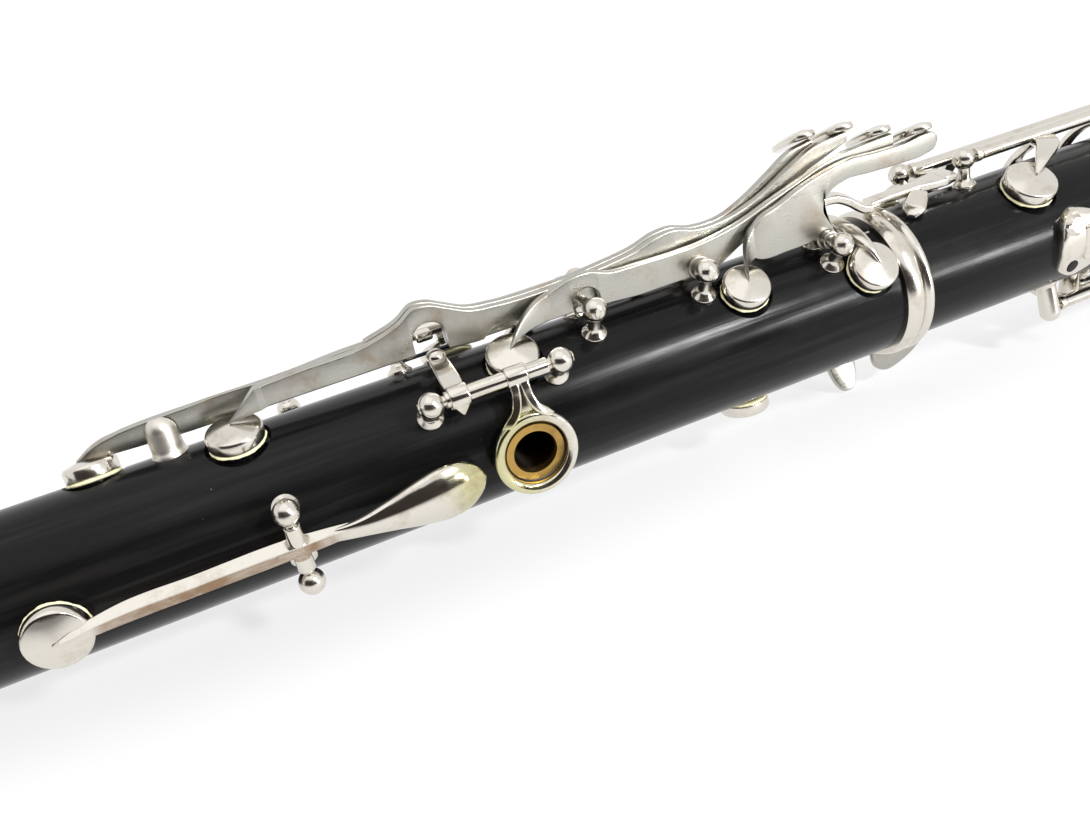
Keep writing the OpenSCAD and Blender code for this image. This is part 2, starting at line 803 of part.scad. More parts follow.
module lower_posts() {
  color(plating) {
    for (x = lower_ring_posts)
      post(x, lower_ring_rod_a, lower_r, lower_axis_r);
    for (x = b_fsharp_posts)
      post(x, b_fsharp_rod_a, lower_r, lower_axis_r);
    for (x = aflat_posts)
      post(x, aflat_rod_a, lower_r, lower_axis_r);
    for (x = e_b_posts)
      post(x, e_b_rod_a, lower_r, lower_axis_r);
    for (x = f_c_posts)
      post(x, f_c_rod_a, lower_r, lower_axis_r);
    for (x = fsharp_posts)
      post(x, fsharp_rod_a, lower_r, lower_axis_r);
    pillar(f_c_lever_posts[0], f_c_lever_a, lower_r, lower_axis_r);
    post(f_c_lever_posts[1], f_c_lever_a, lower_r, lower_axis_r);
    pillar(e_b_lever_posts[0], e_b_lever_a, lower_r, lower_axis_r);
    post(e_b_lever_posts[1], e_b_lever_a, lower_r, lower_axis_r);
  }
}

module lower_rods() {
  color(plating) {
    rod_x(lower_ring_posts[0], lower_ring_posts[1], lower_ring_rod_a, lower_axis_r, rod_r);
    rod_x(b_fsharp_posts[0], b_fsharp_posts[1], b_fsharp_rod_a, lower_axis_r, rod_r);
    rod_x(aflat_posts[0], aflat_posts[1], aflat_rod_a, lower_axis_r, rod_r);
    rod_x(e_b_posts[0], e_b_posts[1], e_b_rod_a, lower_axis_r, rod_r);
    rod_x(f_c_posts[0], f_c_posts[1], f_c_rod_a, lower_axis_r, rod_r);
    rod_x(fsharp_posts[0], fsharp_posts[2], fsharp_rod_a, lower_axis_r, rod_r);
    rod_x(f_c_lever_posts[0], f_c_lever_posts[1], f_c_lever_a, lower_axis_r, rod_r);
    rod_x(e_b_lever_posts[0], e_b_lever_posts[1], e_b_lever_a, lower_axis_r, rod_r);
  }
}

// Needle springs: thin wires that stand out of the posts' necks, close to the body
needle_r = 0.35;
needle_len = 11;
needle_h = 1.8;
module needle(x, a, r_body, way) {
  out(0, a, r_body + needle_h)
    bar_x(way < 0 ? x - needle_len : x, way < 0 ? x : x + needle_len, needle_r);
}

module upper_springs() {
  color(brass) {
    needle(thumb_posts[1], thumb_rod_a, upper_r, -1);
    needle(ring_posts[0], ring_rod_a, upper_r, 1);
    needle(ring_posts[1], ring_rod_a, upper_r, 1);
    needle(sliver_posts[0], sliver_rod_a, upper_r, 1);
  }
}

module lower_springs() {
  color(brass) {
    needle(lower_ring_posts[1], lower_ring_rod_a, lower_r, -1);
    needle(b_fsharp_posts[1], b_fsharp_rod_a, lower_r, -1);
    needle(e_b_posts[0], e_b_rod_a, lower_r, 1);
    needle(f_c_posts[0], f_c_rod_a, lower_r, 1);
    needle(fsharp_posts[1], fsharp_rod_a, lower_r, 1);
    needle(f_c_lever_posts[1], f_c_lever_a, lower_r, -1);
    needle(e_b_lever_posts[1], e_b_lever_a, lower_r, -1);
  }
}

// Guide: a domed stud with a slot for the bar of side key 1
guide_x = -133.4;
guide_a = 102.5;
guide_r = 2.7;
guide_top = 17.6;
module key_guide() {
  color(plating)
    difference() {
      out(guide_x, guide_a) {
        translate([0, 0, upper_r - sink])
          cylinder(r = guide_r, h = guide_top - upper_r + sink);
        translate([0, 0, guide_top])
          sphere(r = guide_r);
      }
      side_bent()
        translate([guide_x - side_bend_x - 5, -plate_t - 0.4, -3.2])
          cube([10, plate_t + 0.8, 12]);
    }
}

// Register key: bar along the thumb side, cross tube, cup and tongue-shaped touch
module register_key() {
  bar_w = 2.4;
  bar_top = register_axis_r + 1.7;
  touch_x = register_tip_x - register_touch_w / 2;
  color(plating)
    difference() {
      union() {
        cup([register_x, 0, register_cup_d], register_seat);
        bar_flat(register_x, touch_x - 16, 0, bar_w, register_seat + cup_h - 0.2, bar_top);
        bar_flat(register_x + register_cup_d / 2 + 0.4, register_axis_x + 6, 0, bar_w - 0.2,
          register_axis_r - 1.6, bar_top - 0.3);
        rod_cross(register_axis_x, 0, register_axis_r, cross_half - ball_r - end_gap, tube_r);
        out(0, 0, register_axis_r)
          linear_extrude(1.5)
            polygon(concat(
              curve([[touch_x - 20, -bar_w / 2], [touch_x - 14, -1.8], [touch_x - 6, -0.45 * register_touch_w],
                [touch_x, -register_touch_w / 2], [touch_x + 3.4, -0.36 * register_touch_w], [register_tip_x, 0]], 4),
              curve([[register_tip_x, 0], [touch_x + 3.4, 0.36 * register_touch_w], [touch_x, register_touch_w / 2],
                [touch_x - 6, 0.45 * register_touch_w], [touch_x - 14, 1.8], [touch_x - 20, bar_w / 2]], 4)));
      }
      rod_cross(register_axis_x, 0, register_axis_r, cross_half, rod_r + hinge_gap);
    }
}

module register_pad() {
  pad([register_x, 0, register_cup_d], register_seat);
}

// Thumb ring key: rod tube, ring on a web, and an arm that passes under the side keys
thumb_arm_x = -87.6;
module thumb_ring_key() {
  ring_top = upper_r + thumb_tube_h + 0.1;
  color(plating)
    turn(thumb_rod_a, upper_axis_r, -thumb_press)
      difference() {
        union() {
          rod_x(thumb_posts[0] + ball_r + end_gap, thumb_posts[1] - ball_r - end_gap,
            thumb_rod_a, upper_axis_r, tube_r);
          finger_ring(thumb_x, 0, ring_top, thumb_ring_d, thumb_tube_d + 1.2, 2);
          strap(thumb_x, 4.4, 22, thumb_rod_a, upper_axis_r - 2.6, upper_axis_r - 2.6 + strap_t);
          strap(thumb_arm_x, 3.2, thumb_rod_a, 80, upper_axis_r - 2.4, upper_axis_r - 2.4 + strap_t);
          out(thumb_arm_x, 80, upper_axis_r - 2.4 + strap_t / 2)
            sphere(r = 1.7);
        }
        rod_x(thumb_posts[0], thumb_posts[1], thumb_rod_a, upper_axis_r, rod_r + hinge_gap);
      }
}

// Throat key: straight bar over a cross tube, with a cup and an oval touch
module throat_key(place, axis_x, touch_x, w) {
  color(plating)
    difference() {
      union() {
        cup(place, upper_seat);
        cup_stem(place, upper_seat, 2);
        bar_flat(place[0] - 1, touch_x, place[1], 2.4, upper_seat + cup_h + 0.6, register_axis_r + 1);
        rod_cross(axis_x, place[1], register_axis_r, throat_half - ball_r - end_gap, tube_r);
        out(touch_x, place[1], register_axis_r - 0.4)
          rotate([0, 0, 90])
            oval(w, 15, 1.4);
      }
      rod_cross(axis_x, place[1], register_axis_r, throat_half, rod_r + hinge_gap);
    }
}

module throat_a_key() {
  throat_key(throat_a, throat_a_x, -88, 8);
}

module throat_a_pad() {
  pad(throat_a, upper_seat);
}

module throat_gsharp_key() {
  throat_key(throat_gsharp, throat_gsharp_x, -88, 6.4);
}

module throat_gsharp_pad() {
  pad(throat_gsharp, upper_seat);
}

// Arm from a rod to a finger ring, and the ring
module ring_arm(x, rod_a, r_axis, r_body) {
  top = r_body + chimney_h;
  low = r_body + 2.6;
  strap(x, 3, rod_a, 157, low, low + strap_t);
  bar_flat(x - 1.5, x + 1.5, rod_a, 2, low, r_axis);
  finger_ring(x, 180, top, ring_d, ring_hole_d, 1.7);
}

// Arm from a rod to a cup
module cup_arm(place, seat, rod_a, r_axis) {
  low = max(r_axis - 2.6, norm([seat + pad_h + 0.3, place[2] / 2]));
  cup(place, seat);
  cup_stem(place, seat, max(low - seat - cup_h + 1, 1));
  strap(place[0], 2.8, rod_a, place[1], low, low + strap_t);
}

// Upper ring key 1: ring of the first finger, vent pad, link to the thumb ring
module upper_ring_key_1() {
  color(plating)
    turn(ring_rod_a, upper_axis_r, ring_press)
      difference() {
        union() {
          rod_x(ring_posts[0] + ball_r + end_gap, ring_posts[1] - ball_r - end_gap,
            ring_rod_a, upper_axis_r, tube_r);
          ring_arm(left_hole_1, ring_rod_a, upper_axis_r, upper_r);
          cup_arm(vent_1, upper_seat, ring_rod_a, upper_axis_r);
          strap(thumb_arm_x, 3, 99, ring_rod_a, upper_axis_r - 1, upper_axis_r - 1 + strap_t);
        }
        rod_x(ring_posts[0], ring_posts[2], ring_rod_a, upper_axis_r, rod_r + hinge_gap);
      }
}

module upper_ring_pad_1() {
  turn(ring_rod_a, upper_axis_r, ring_press)
    pad(vent_1, upper_seat);
}

// Upper ring key 2: ring of the second finger, vent pad, upper lever of the bridge
bridge_y = 1.5;
bridge_z = 19.8;
module upper_ring_key_2() {
  color(plating)
    turn(ring_rod_a, upper_axis_r, ring_press)
      difference() {
        union() {
          rod_x(ring_posts[1] + ball_r + end_gap, ring_posts[2] - ball_r - end_gap,
            ring_rod_a, upper_axis_r, tube_r);
          ring_arm(left_hole_2, ring_rod_a, upper_axis_r, upper_r);
          cup_arm(vent_2, upper_seat, ring_rod_a, upper_axis_r);
          strap(-18, 3, 94, ring_rod_a, upper_axis_r + 0.2, upper_axis_r + 0.2 + strap_t);
          translate([-19.5, bridge_y - 1.8, bridge_z])
            cube([21.5, 3.4, strap_t]);
          translate([-0.4, bridge_y - 1.8, bridge_z - 1.4])
            cube([2.4, 3.4, 2]);
        }
        rod_x(ring_posts[0], ring_posts[2], ring_rod_a, upper_axis_r, rod_r + hinge_gap);
      }
}

module upper_ring_pad_2() {
  turn(ring_rod_a, upper_axis_r, ring_press)
    pad(vent_2, upper_seat);
}

// Plate of a side key in the plane of X and Z, from its edges
module side_plate(i, top, low) {
  translate([0, side_back[i], side_axis_z])
    rotate([90, 0, 0])
      linear_extrude(plate_t)
        polygon(concat(curve(top), turned_round(low)));
}

// Left part of side key 1, which swings away from the other side keys
side_bend_x = -98;
side_bend = 6.2;
module side_bent() {
  translate([side_bend_x, side_back[0], side_axis_z])
    rotate([0, 0, -side_bend])
      children();
}

// Boss around a side key's axis
module side_boss(i, x, z, r = 2.7) {
  bar_y(x, z, side_back[i] - plate_t, side_back[i], r);
}

// Arch that clears a rod or a lever, open towards the body
module arch(i, x, r, h) {
  bar_y(x, side_axis_z + h, side_back[i] - plate_t - 1, side_back[i] + 1, r);
  translate([x - r, side_back[i] - plate_t - 1, upper_r])
    cube([2 * r, plate_t + 2, side_axis_z + h - upper_r]);
}

// Touch of a side key, tilted towards the front
touch_tilt = 25;
module side_touch(x, y, z) {
  translate([x, y, z])
    rotate([-touch_tilt, 0, 0])
      oval(touch_w, touch_l, 1.5);
}

// Rising edges that side keys 1 and 2 share, as height above their axis
bump_top = [[-91.9, 6.5], [-88.8, 8.3], [-86.2, 8], [-83.5, 6.7], [-79.7, 4.9],
  [-75.5, 4.3], [-66, 4], [-55, 4.7], [-47.5, 5.7], [-43.4, 6.9], [-40.3, 7.1], [-35.6, 5.9], [-29.6, 6]];

module side_key_1() {
  color(plating)
    difference() {
      union() {
        side_plate(0, concat([[-98, 4.7]], bump_top, [[-24.6, 7.9], [-19, 11], [-14.5, 14], [-9.5, 15]]),
          [[-98, -0.5], [-90, -0.6], [-66, -1], [-33, -1], [-29, 2], [-22, 6.2], [-15, 11], [-9.5, 13.4]]);
        side_bent()
          rotate([90, 0, 0])
            linear_extrude(plate_t)
              polygon(concat(
                curve([[-48.6, -1.7], [-46.4, -0.6], [-43.6, 0.9], [-39.8, 1.5], [-28, 2.3], [-12, 3.2],
                  [-5, 4], [2.5, 4.3]]),
                turned_round([[-48.6, -2.2], [-28.6, -2.2], [-27.8, 0.9], [-20.4, 0.9], [-19, -0.9], [2.5, -0.2]])));
        side_boss(0, side_axis_a, side_axis_z);
        cup(side_1, upper_seat);
        cup_stem(side_1, upper_seat, 1.6, 1.6);
        side_touch(-10.6, 4, 31);
      }
      bar_y(side_axis_a, side_axis_z, side_back[0] - plate_t - 1, side_back[0] + 1, rod_r + hinge_gap);
      arch(0, side_axis_b, arch_r, 0.4);
      arch(0, thumb_arm_x, arch_r + 0.3, 2.2);
    }
}

module side_pad_1() {
  pad(side_1, upper_seat);
}

module side_key_2() {
  color(plating)
    difference() {
      union() {
        side_plate(1, concat([[-123.8, -0.6], [-121, 1], [-116, 3.3], [-109.7, 3.9], [-97.5, 4.8]], bump_top,
          [[-22.7, 8], [-16.1, 11.3], [-11.2, 13.7], [-3.5, 14.8]]),
          [[-123.8, -1.1], [-116, 0], [-90, 0], [-80, -1.1], [-66, -1.1], [-33, -1.1], [-29, 1.2],
            [-20, 5.5], [-12, 10], [-3.5, 13]]);
        side_boss(1, side_axis_a, side_axis_z);
        cup(side_2, upper_seat);
        cup_stem(side_2, upper_seat, 1.6, 2.2);
        side_touch(-3.9, 1.8, 31);
      }
      bar_y(side_axis_a, side_axis_z, side_back[1] - plate_t - 1, side_back[1] + 1, rod_r + hinge_gap);
      arch(1, side_axis_b, arch_r, 0.4);
      arch(1, thumb_arm_x, arch_r + 0.3, 2.2);
      translate([side_3[0] - side_3[2] / 2 - 0.6, side_back[1] - plate_t - 1, upper_r])
        cube([side_3[2] + 1.2, 1.9, side_axis_z + 1.3 - upper_r]);
    }
}

module side_pad_2() {
  pad(side_2, upper_seat);
}

module side_key_3() {
  color(plating)
    difference() {
      union() {
        side_plate(2, [[-70, 1], [-69, 3.2], [-66, 4.3], [-62, 5.5], [-58.2, 5.6], [-54.6, 4.4], [-48.8, 4.1],
          [-34.7, 4.3], [-28.4, 5.4], [-21.9, 7.5], [-15.4, 9.5], [-8.9, 11.5], [-2.4, 12.2], [4.8, 12.6]],
          [[-70, -0.7], [-62, -0.7], [-54.6, -1.3], [-49.7, -1.7], [-34, -1.6], [-29.5, 0.8], [-24, 3.4],
            [-15, 6], [-8, 8.1], [-2, 8.7], [4.8, 8.8]]);
        side_boss(2, side_axis_b, side_axis_z);
        bar_y(side_axis_b, side_axis_z, side_front_y + ball_r + end_gap, side_back[2] - plate_t + 0.1, 2.2);
        cup(side_3, upper_seat);
        cup_stem(side_3, upper_seat, 1.2, 1.6);
        hull() {
          translate([-69.6, side_back[2] - plate_t / 2, side_axis_z + 0.6])
            cube([2, plate_t, 3], center = true);
          out(side_3[0], side_3[1], upper_seat + cup_h + 0.5)
            cylinder(r = 0.8, h = 0.8, $fn = 24);
        }
        side_touch(2.7, -0.3, 29);
      }
      bar_y(side_axis_b, side_axis_z, -10, 0, rod_r + hinge_gap);
      arch(2, side_axis_a, arch_r, 0.3);
    }
}

module side_pad_3() {
  pad(side_3, upper_seat);
}

module side_key_4() {
  color(plating)
    difference() {
      union() {
        side_plate(3, [[-29.6, 0.4], [-29, 2.2], [-27.6, 4.3], [-25.6, 5.9], [-21.3, 7.2], [-17, 8.9], [-10.6, 10.6],
          [-6.2, 11.2], [0.2, 10.9], [6, 10.9], [11.6, 11.6]],
          [[-29.6, -0.4], [-27, -1.7], [-20, -2], [-14, -1.6], [-10.5, -0.8], [-11.2, 0.6], [-12.5, 3.3],
            [-12.2, 5], [-10.8, 6.5], [-7.5, 7.7], [-2, 7.6], [4.6, 7.4], [11.6, 7.6]]);
        side_boss(3, side_axis_c, side_axis_cz, 2.1);
        bar_y(side_axis_c, side_axis_cz, side_c_front_y + ball_r + 3 * end_gap, side_back[3] - plate_t + 0.1, tube_r);
        cup(side_4, upper_seat);
        cup_stem(side_4, upper_seat, 1.2, 1.6);
        hull() {
          translate([-29, side_back[3] - plate_t / 2, side_axis_z + 0.3])
            cube([1.6, plate_t, 2.4], center = true);
          out(side_4[0], side_4[1], upper_seat + cup_h + 0.5)
            cylinder(r = 0.8, h = 0.8, $fn = 24);
        }
        side_touch(9.3, -3.4, 28.2);
      }
      bar_y(side_axis_c, side_axis_cz, -12, 0, rod_r + hinge_gap);
    }
}

module side_pad_4() {
  pad(side_4, upper_seat);
}

// C sharp / G sharp key: strap around the right side to its pad and around the left to its touch
csharp_strap_x = -6.4;
csharp_touch_x = 0.8;
module csharp_gsharp_key() {
  low = upper_r + 1.2;
  color(plating)
    difference() {
      union() {
        rod_x(csharp_posts[0] + ball_r + end_gap, csharp_posts[1] - ball_r - end_gap,
          csharp_rod_a, csharp_axis_r, tube_r);
        strap(csharp_strap_x, 2.6, 57.5, csharp_rod_a + strap_lap, low, low + strap_t);
        strap(csharp_strap_x, 2.5, csharp_rod_a - strap_lap, 207,
          csharp_axis_r - 1.2, csharp_axis_r - 1.2 + strap_t);
        bar_flat(csharp_strap_x - 1, csharp_touch_x, 205, 5, csharp_axis_r - 1, csharp_axis_r - 0.9 + strap_t);
        bar_flat(csharp_strap_x - 1.1, csharp_strap_x + 1.1, csharp_rod_a, 2.4, low + 0.4, csharp_axis_r);
        cup(csharp, upper_seat);
        cup_stem(csharp, upper_seat, 1.2);
        strap(csharp_strap_x, 2.4, 57.8, 62, low + 0.3, low + 2.9);
        strap(csharp_strap_x, 2.3, csharp[1], 61.5, low + 1.7, low + 3.1);
        out(csharp_touch_x, 205, csharp_axis_r - 0.8)
          translate([0, 8.1, 0])
            oval(6, 22.4, strap_t);
      }
      rod_x(csharp_posts[0], csharp_posts[1], csharp_rod_a, csharp_axis_r, rod_r + hinge_gap);
    }
}

module csharp_gsharp_pad() {
  pad(csharp, upper_seat);
}

// E flat / B flat key of the left hand: touch between two finger holes, pad on the left side
module eflat_bflat_key() {
  color(plating)
    difference() {
      union() {
        rod_x(sliver_posts[0] + ball_r + end_gap, sliver_posts[1] - ball_r - end_gap,
          sliver_rod_a, upper_axis_r, tube_r);
        cup_arm(eflat, upper_seat, sliver_rod_a, upper_axis_r);
        strap(vent_2[0], 3, 205, sliver_rod_a, upper_axis_r - 2.6, upper_axis_r - 2.6 + strap_t);
        out(vent_2[0], 196, upper_axis_r - 2.6)
          oval(4.4, 13, strap_t);
      }
      rod_x(sliver_posts[0], sliver_posts[1], sliver_rod_a, upper_axis_r, rod_r + hinge_gap);
    }
}

module eflat_bflat_pad() {
  pad(eflat, upper_seat);
}

// Lower ring key: three rings, vent pad, lower lever of the bridge
module lower_ring_key() {
  lever_z = lower_r + 2.9;
  color(plating)
    turn(lower_ring_rod_a, lower_axis_r, ring_press)
      difference() {
        union() {
          rod_x(lower_ring_posts[0] + ball_r + end_gap, lower_ring_posts[1] - ball_r - end_gap,
            lower_ring_rod_a, lower_axis_r, tube_r);
          for (x = [right_hole_1, right_hole_2, right_hole_3])
            ring_arm(x, lower_ring_rod_a, lower_axis_r, lower_r);
          cup(lower_vent, lower_seat);
          cup_stem(lower_vent, lower_seat, 1.6);
          hull() {
            out(lower_vent[0], lower_vent[1], lower_seat + cup_h + 0.6)
              cylinder(r = 1.2, h = 1.2, $fn = 24);
            out(21, 126, lower_axis_r - 1.8)
              cylinder(r = 1.4, h = 1.4, $fn = 24);
          }
          strap(21, 3, 119, 126, lower_axis_r - 2.5, lower_axis_r - 0.6);
          strap(21.4, 3.2, 87, lower_ring_rod_a, lower_axis_r - 2.5, lower_axis_r - 2.5 + strap_t);
          translate([2.6, bridge_y - 2.4, lever_z])
            cube([20.4, 3.4, strap_t]);
        }
        rod_x(lower_ring_posts[0], lower_ring_posts[1], lower_ring_rod_a, lower_axis_r, rod_r + hinge_gap);
      }
}

module lower_ring_pad() {
  turn(lower_ring_rod_a, lower_axis_r, ring_press)
    pad(lower_vent, lower_seat);
}

// B / F sharp key of the right hand: pad on the right, touch between two rings
b_arm_x = 44;
b_touch_x = 65.5;
module b_fsharp_key() {
  low = lower_r + 2.4;
  color(plating)
    difference() {
      union() {
        rod_x(b_fsharp_posts[0] + ball_r + end_gap, b_fsharp_posts[1] - ball_r - end_gap,
          b_fsharp_rod_a, lower_axis_r, tube_r);
        cup(b_fsharp, lower_seat);
        cup_stem(b_fsharp, lower_seat, 1.2, 1.6);
        hull() {
          out(b_fsharp[0], b_fsharp[1], lower_seat + cup_h + 0.5)
            cylinder(r = 0.9, h = 0.9, $fn = 24);
          out(b_arm_x, 81, lower_axis_r - 1.7)
            cylinder(r = 1.3, h = 1.1, $fn = 24);
        }
        strap(b_arm_x, 3.2, 79, b_fsharp_rod_a + strap_lap, lower_axis_r - 2, lower_axis_r - 0.2);
        strap(b_touch_x, 3, b_fsharp_rod_a - strap_lap, 168, low, low + strap_t - 0.2);
        bar_flat(b_touch_x - 1.2, b_touch_x + 1.2, b_fsharp_rod_a, 1.6, low + 0.3, lower_axis_r);
        out(b_touch_x, 172, low + 0.6)
          oval(4.4, 11, strap_t);
      }
      rod_x(b_fsharp_posts[0], b_fsharp_posts[1], b_fsharp_rod_a, lower_axis_r, rod_r + hinge_gap);
    }
}

module b_fsharp_pad() {
  pad(b_fsharp, lower_seat);
}

// Touch of a little-finger key, at a place along the bore and an angle around it
module little_touch(x, a, r, w, l) {
  out(x, a, r)
    oval(w, l, strap_t);
}

// A flat / E flat key
module aflat_eflat_key() {
  color(plating)
    difference() {
      union() {
        rod_x(aflat_posts[0] + ball_r + end_gap, aflat_posts[1] - ball_r - end_gap,
          aflat_rod_a, lower_axis_r, tube_r);
        cup_arm(aflat, lower_seat, aflat_rod_a, lower_axis_r);
        strap(aflat[0], 3, aflat_rod_a, 118, lower_axis_r - 1, lower_axis_r - 1 + strap_t);
        little_touch(aflat[0], 122, lower_axis_r - 0.6, 9, 11);
      }
      rod_x(aflat_posts[0], aflat_posts[1], aflat_rod_a, lower_axis_r, rod_r + hinge_gap);
    }
}

module aflat_eflat_pad() {
  pad(aflat, lower_seat);
}

// F / C key
f_c_arm_x = 132.2;
module f_c_key() {
  color(plating)
    turn(f_c_rod_a, lower_axis_r, f_c_press)
      difference() {
        union() {
          rod_x(f_c_posts[0] + ball_r + end_gap, f_c_posts[1] - ball_r - end_gap,
            f_c_rod_a, lower_axis_r, tube_r);
          cup_arm(f_c, lower_seat, f_c_rod_a, lower_axis_r);
          strap(f_c_arm_x, 3, f_c_rod_a, 190, lower_axis_r - 1, lower_axis_r - 1 + strap_t);
          bar_flat(123, f_c_arm_x + 1.5, 188.6, 2.8, lower_axis_r - 0.9, lower_axis_r - 1.2 + strap_t);
          bar_flat(119, f_c_arm_x, 148, 3.4, lower_axis_r - 0.9, lower_axis_r - 1.1 + strap_t);
          little_touch(119.5, 148, lower_axis_r - 0.4, 9, 9.6);
        }
        rod_x(f_c_posts[0], f_c_posts[1], f_c_rod_a, lower_axis_r, rod_r + hinge_gap);
      }
}

module f_c_pad() {
  turn(f_c_rod_a, lower_axis_r, f_c_press)
    pad(f_c, lower_seat);
}

// E / B key
e_b_link_x = 149.6;
module e_b_key() {
  high = lower_axis_r + over + 0.6;
  color(plating)
    turn(e_b_rod_a, lower_axis_r, e_b_press)
      difference() {
        union() {
          rod_x(e_b_posts[0] + ball_r + end_gap, e_b_posts[1] - ball_r - end_gap,
            e_b_rod_a, lower_axis_r, tube_r);
          cup_arm(e_b, lower_seat, e_b_rod_a, lower_axis_r);
          strap(121, 3, e_b_rod_a, 108, lower_axis_r - 1, lower_axis_r - 1 + strap_t);
          little_touch(119, 112, lower_axis_r - 0.6, 9, 9.6);
          bar_flat(e_b_link_x - 1.4, e_b_link_x + 1.4, e_b_rod_a, 2, lower_axis_r, high + 0.4);
          strap(e_b_link_x, 2.8, e_b_rod_a, 214, high, high + strap_t);
        }
        rod_x(e_b_posts[0], e_b_posts[1], e_b_rod_a, lower_axis_r, rod_r + hinge_gap);
      }
}

module e_b_pad() {
  turn(e_b_rod_a, lower_axis_r, e_b_press)
    pad(e_b, lower_seat);
}

// F sharp / C sharp key
module fsharp_csharp_key() {
  color(plating)
    turn(fsharp_rod_a, lower_axis_r, -fsharp_press)
      difference() {
        union() {
          rod_x(fsharp_posts[1] + ball_r + end_gap, fsharp_posts[2] - ball_r - end_gap,
            fsharp_rod_a, lower_axis_r, tube_r);
          cup_arm(fsharp, lower_seat, fsharp_rod_a, lower_axis_r);
          strap(103, 3, 160, fsharp_rod_a + strap_lap, lower_axis_r - 2.2, lower_axis_r - 2.2 + strap_t);
          little_touch(104, 161, lower_axis_r - 1.4, 9, 11);
        }
        rod_x(fsharp_posts[1], fsharp_posts[2], fsharp_rod_a, lower_axis_r, rod_r + hinge_gap);
      }
}

module fsharp_csharp_pad() {
  turn(fsharp_rod_a, lower_axis_r, -fsharp_press)
    pad(fsharp, lower_seat);
}

// Lever of the left little finger: tube on its rod, arm to a bar along the body, touch
module lever(posts, rod_a, arm_x, bar_a, bar_end, low) {
  rod_x(posts[0] + ball_r + end_gap, posts[1] - ball_r - end_gap, rod_a, lower_axis_r, tube_r);
  strap(arm_x, 2.2, bar_a, rod_a, low, low + strap_t);
  bar_flat(bar_end, arm_x + 1.1, bar_a, 2.4, low, low + strap_t - 0.2);
}

lever_low = 17.2;

// Back of the left E / B lever's touch, which hangs below its bar
e_b_wing_y = 6.8;
module e_b_lever() {
  high = lower_axis_r + over + 0.6;
  color(plating)
    difference() {
      union() {
        lever(e_b_lever_posts, e_b_lever_a, 48.4, 250, 7, lever_low);
        translate([0, e_b_wing_y, 0])
          rotate([90, 0, 0])
            linear_extrude(strap_t)
              polygon(curve([[22.4, -15.6], [21.6, -18.2], [18, -21.8], [13.4, -24.4], [9.4, -25.1], [6.9, -23.6],
                [6, -20.4], [6.2, -17.4], [8, -15.6]]));
        strap(146, 2.4, 226, e_b_lever_a, high, high + strap_t);
        bar_flat(144.8, 147.2, e_b_lever_a, 2, lower_axis_r, high + 0.4);
      }
      rod_x(e_b_lever_posts[0], e_b_lever_posts[1], e_b_lever_a, lower_axis_r, rod_r + hinge_gap);
    }
}

module fsharp_csharp_lever() {
  color(plating)
    difference() {
      union() {
        lever(fsharp_posts, fsharp_rod_a, 66.2, 218, 20, lever_low + 0.4);
        little_touch(21, 213, lever_low + 1.4, 6.4, 9);
        strap(92.6, 2.4, 236, fsharp_rod_a, lower_axis_r + 0.2, lower_axis_r + 0.2 + strap_t);
      }
      rod_x(fsharp_posts[0], fsharp_posts[2], fsharp_rod_a, lower_axis_r, rod_r + hinge_gap);
    }
}

module f_c_lever() {
  high = lower_axis_r + over;
  color(plating)
    difference() {
      union() {
        lever(f_c_lever_posts, f_c_lever_a, 58.6, 231, 9, lever_low);
        little_touch(9, 231, lever_low + 1, 7, 8.4);
        strap(119.4, 2.4, 200, f_c_lever_a, high, high + strap_t);
        bar_flat(118.2, 120.6, f_c_lever_a, 2, lower_axis_r, high + 0.4);
      }
      rod_x(f_c_lever_posts[0], f_c_lever_posts[1], f_c_lever_a, lower_axis_r, rod_r + hinge_gap);
    }
}

mouthpiece();
mouthpiece_cork();
reed();
ligature_band();
ligature_screws();
barrel();
barrel_rings();
upper_joint();
lower_joint();
bell();
tenon_corks();
hole_tubes();
joint_rings();
thumb_rest();
thumb_rest_screws();
upper_posts();
lower_posts();
upper_rods();
lower_rods();
upper_springs();
lower_springs();
key_guide();
register_key();
register_pad();
thumb_ring_key();
throat_a_key();
throat_a_pad();
throat_gsharp_key();
throat_gsharp_pad();
upper_ring_key_1();
upper_ring_pad_1();
upper_ring_key_2();
upper_ring_pad_2();
side_key_1();
side_pad_1();
side_key_2();
side_pad_2();
side_key_3();
side_pad_3();
side_key_4();
side_pad_4();
csharp_gsharp_key();
csharp_gsharp_pad();
eflat_bflat_key();
eflat_bflat_pad();
lower_ring_key();
lower_ring_pad();
b_fsharp_key();
b_fsharp_pad();
aflat_eflat_key();
aflat_eflat_pad();
f_c_key();
f_c_pad();
e_b_key();
e_b_pad();
fsharp_csharp_key();
fsharp_csharp_pad();
e_b_lever();
fsharp_csharp_lever();
f_c_lever();
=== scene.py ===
"""Looks of a clarinet: finishes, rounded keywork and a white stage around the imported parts."""

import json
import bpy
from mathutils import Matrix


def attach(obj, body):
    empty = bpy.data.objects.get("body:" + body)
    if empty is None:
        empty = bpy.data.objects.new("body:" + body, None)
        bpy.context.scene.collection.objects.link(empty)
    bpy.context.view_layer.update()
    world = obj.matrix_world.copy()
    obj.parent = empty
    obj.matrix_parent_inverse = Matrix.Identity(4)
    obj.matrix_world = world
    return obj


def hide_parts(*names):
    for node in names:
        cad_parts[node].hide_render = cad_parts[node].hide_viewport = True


bl_info = {
    "name": "Clarinet looks",
    "version": (1, 0, 0),
    "blender": (4, 5, 0),
    "location": "View3D > Sidebar > Clarinet",
    "description": "Finishes, rounded keywork and stage for a clarinet",
    "category": "Object",
}

import bpy
import numpy as np
from bpy.props import FloatProperty, FloatVectorProperty, PointerProperty
from mathutils import Matrix, Vector

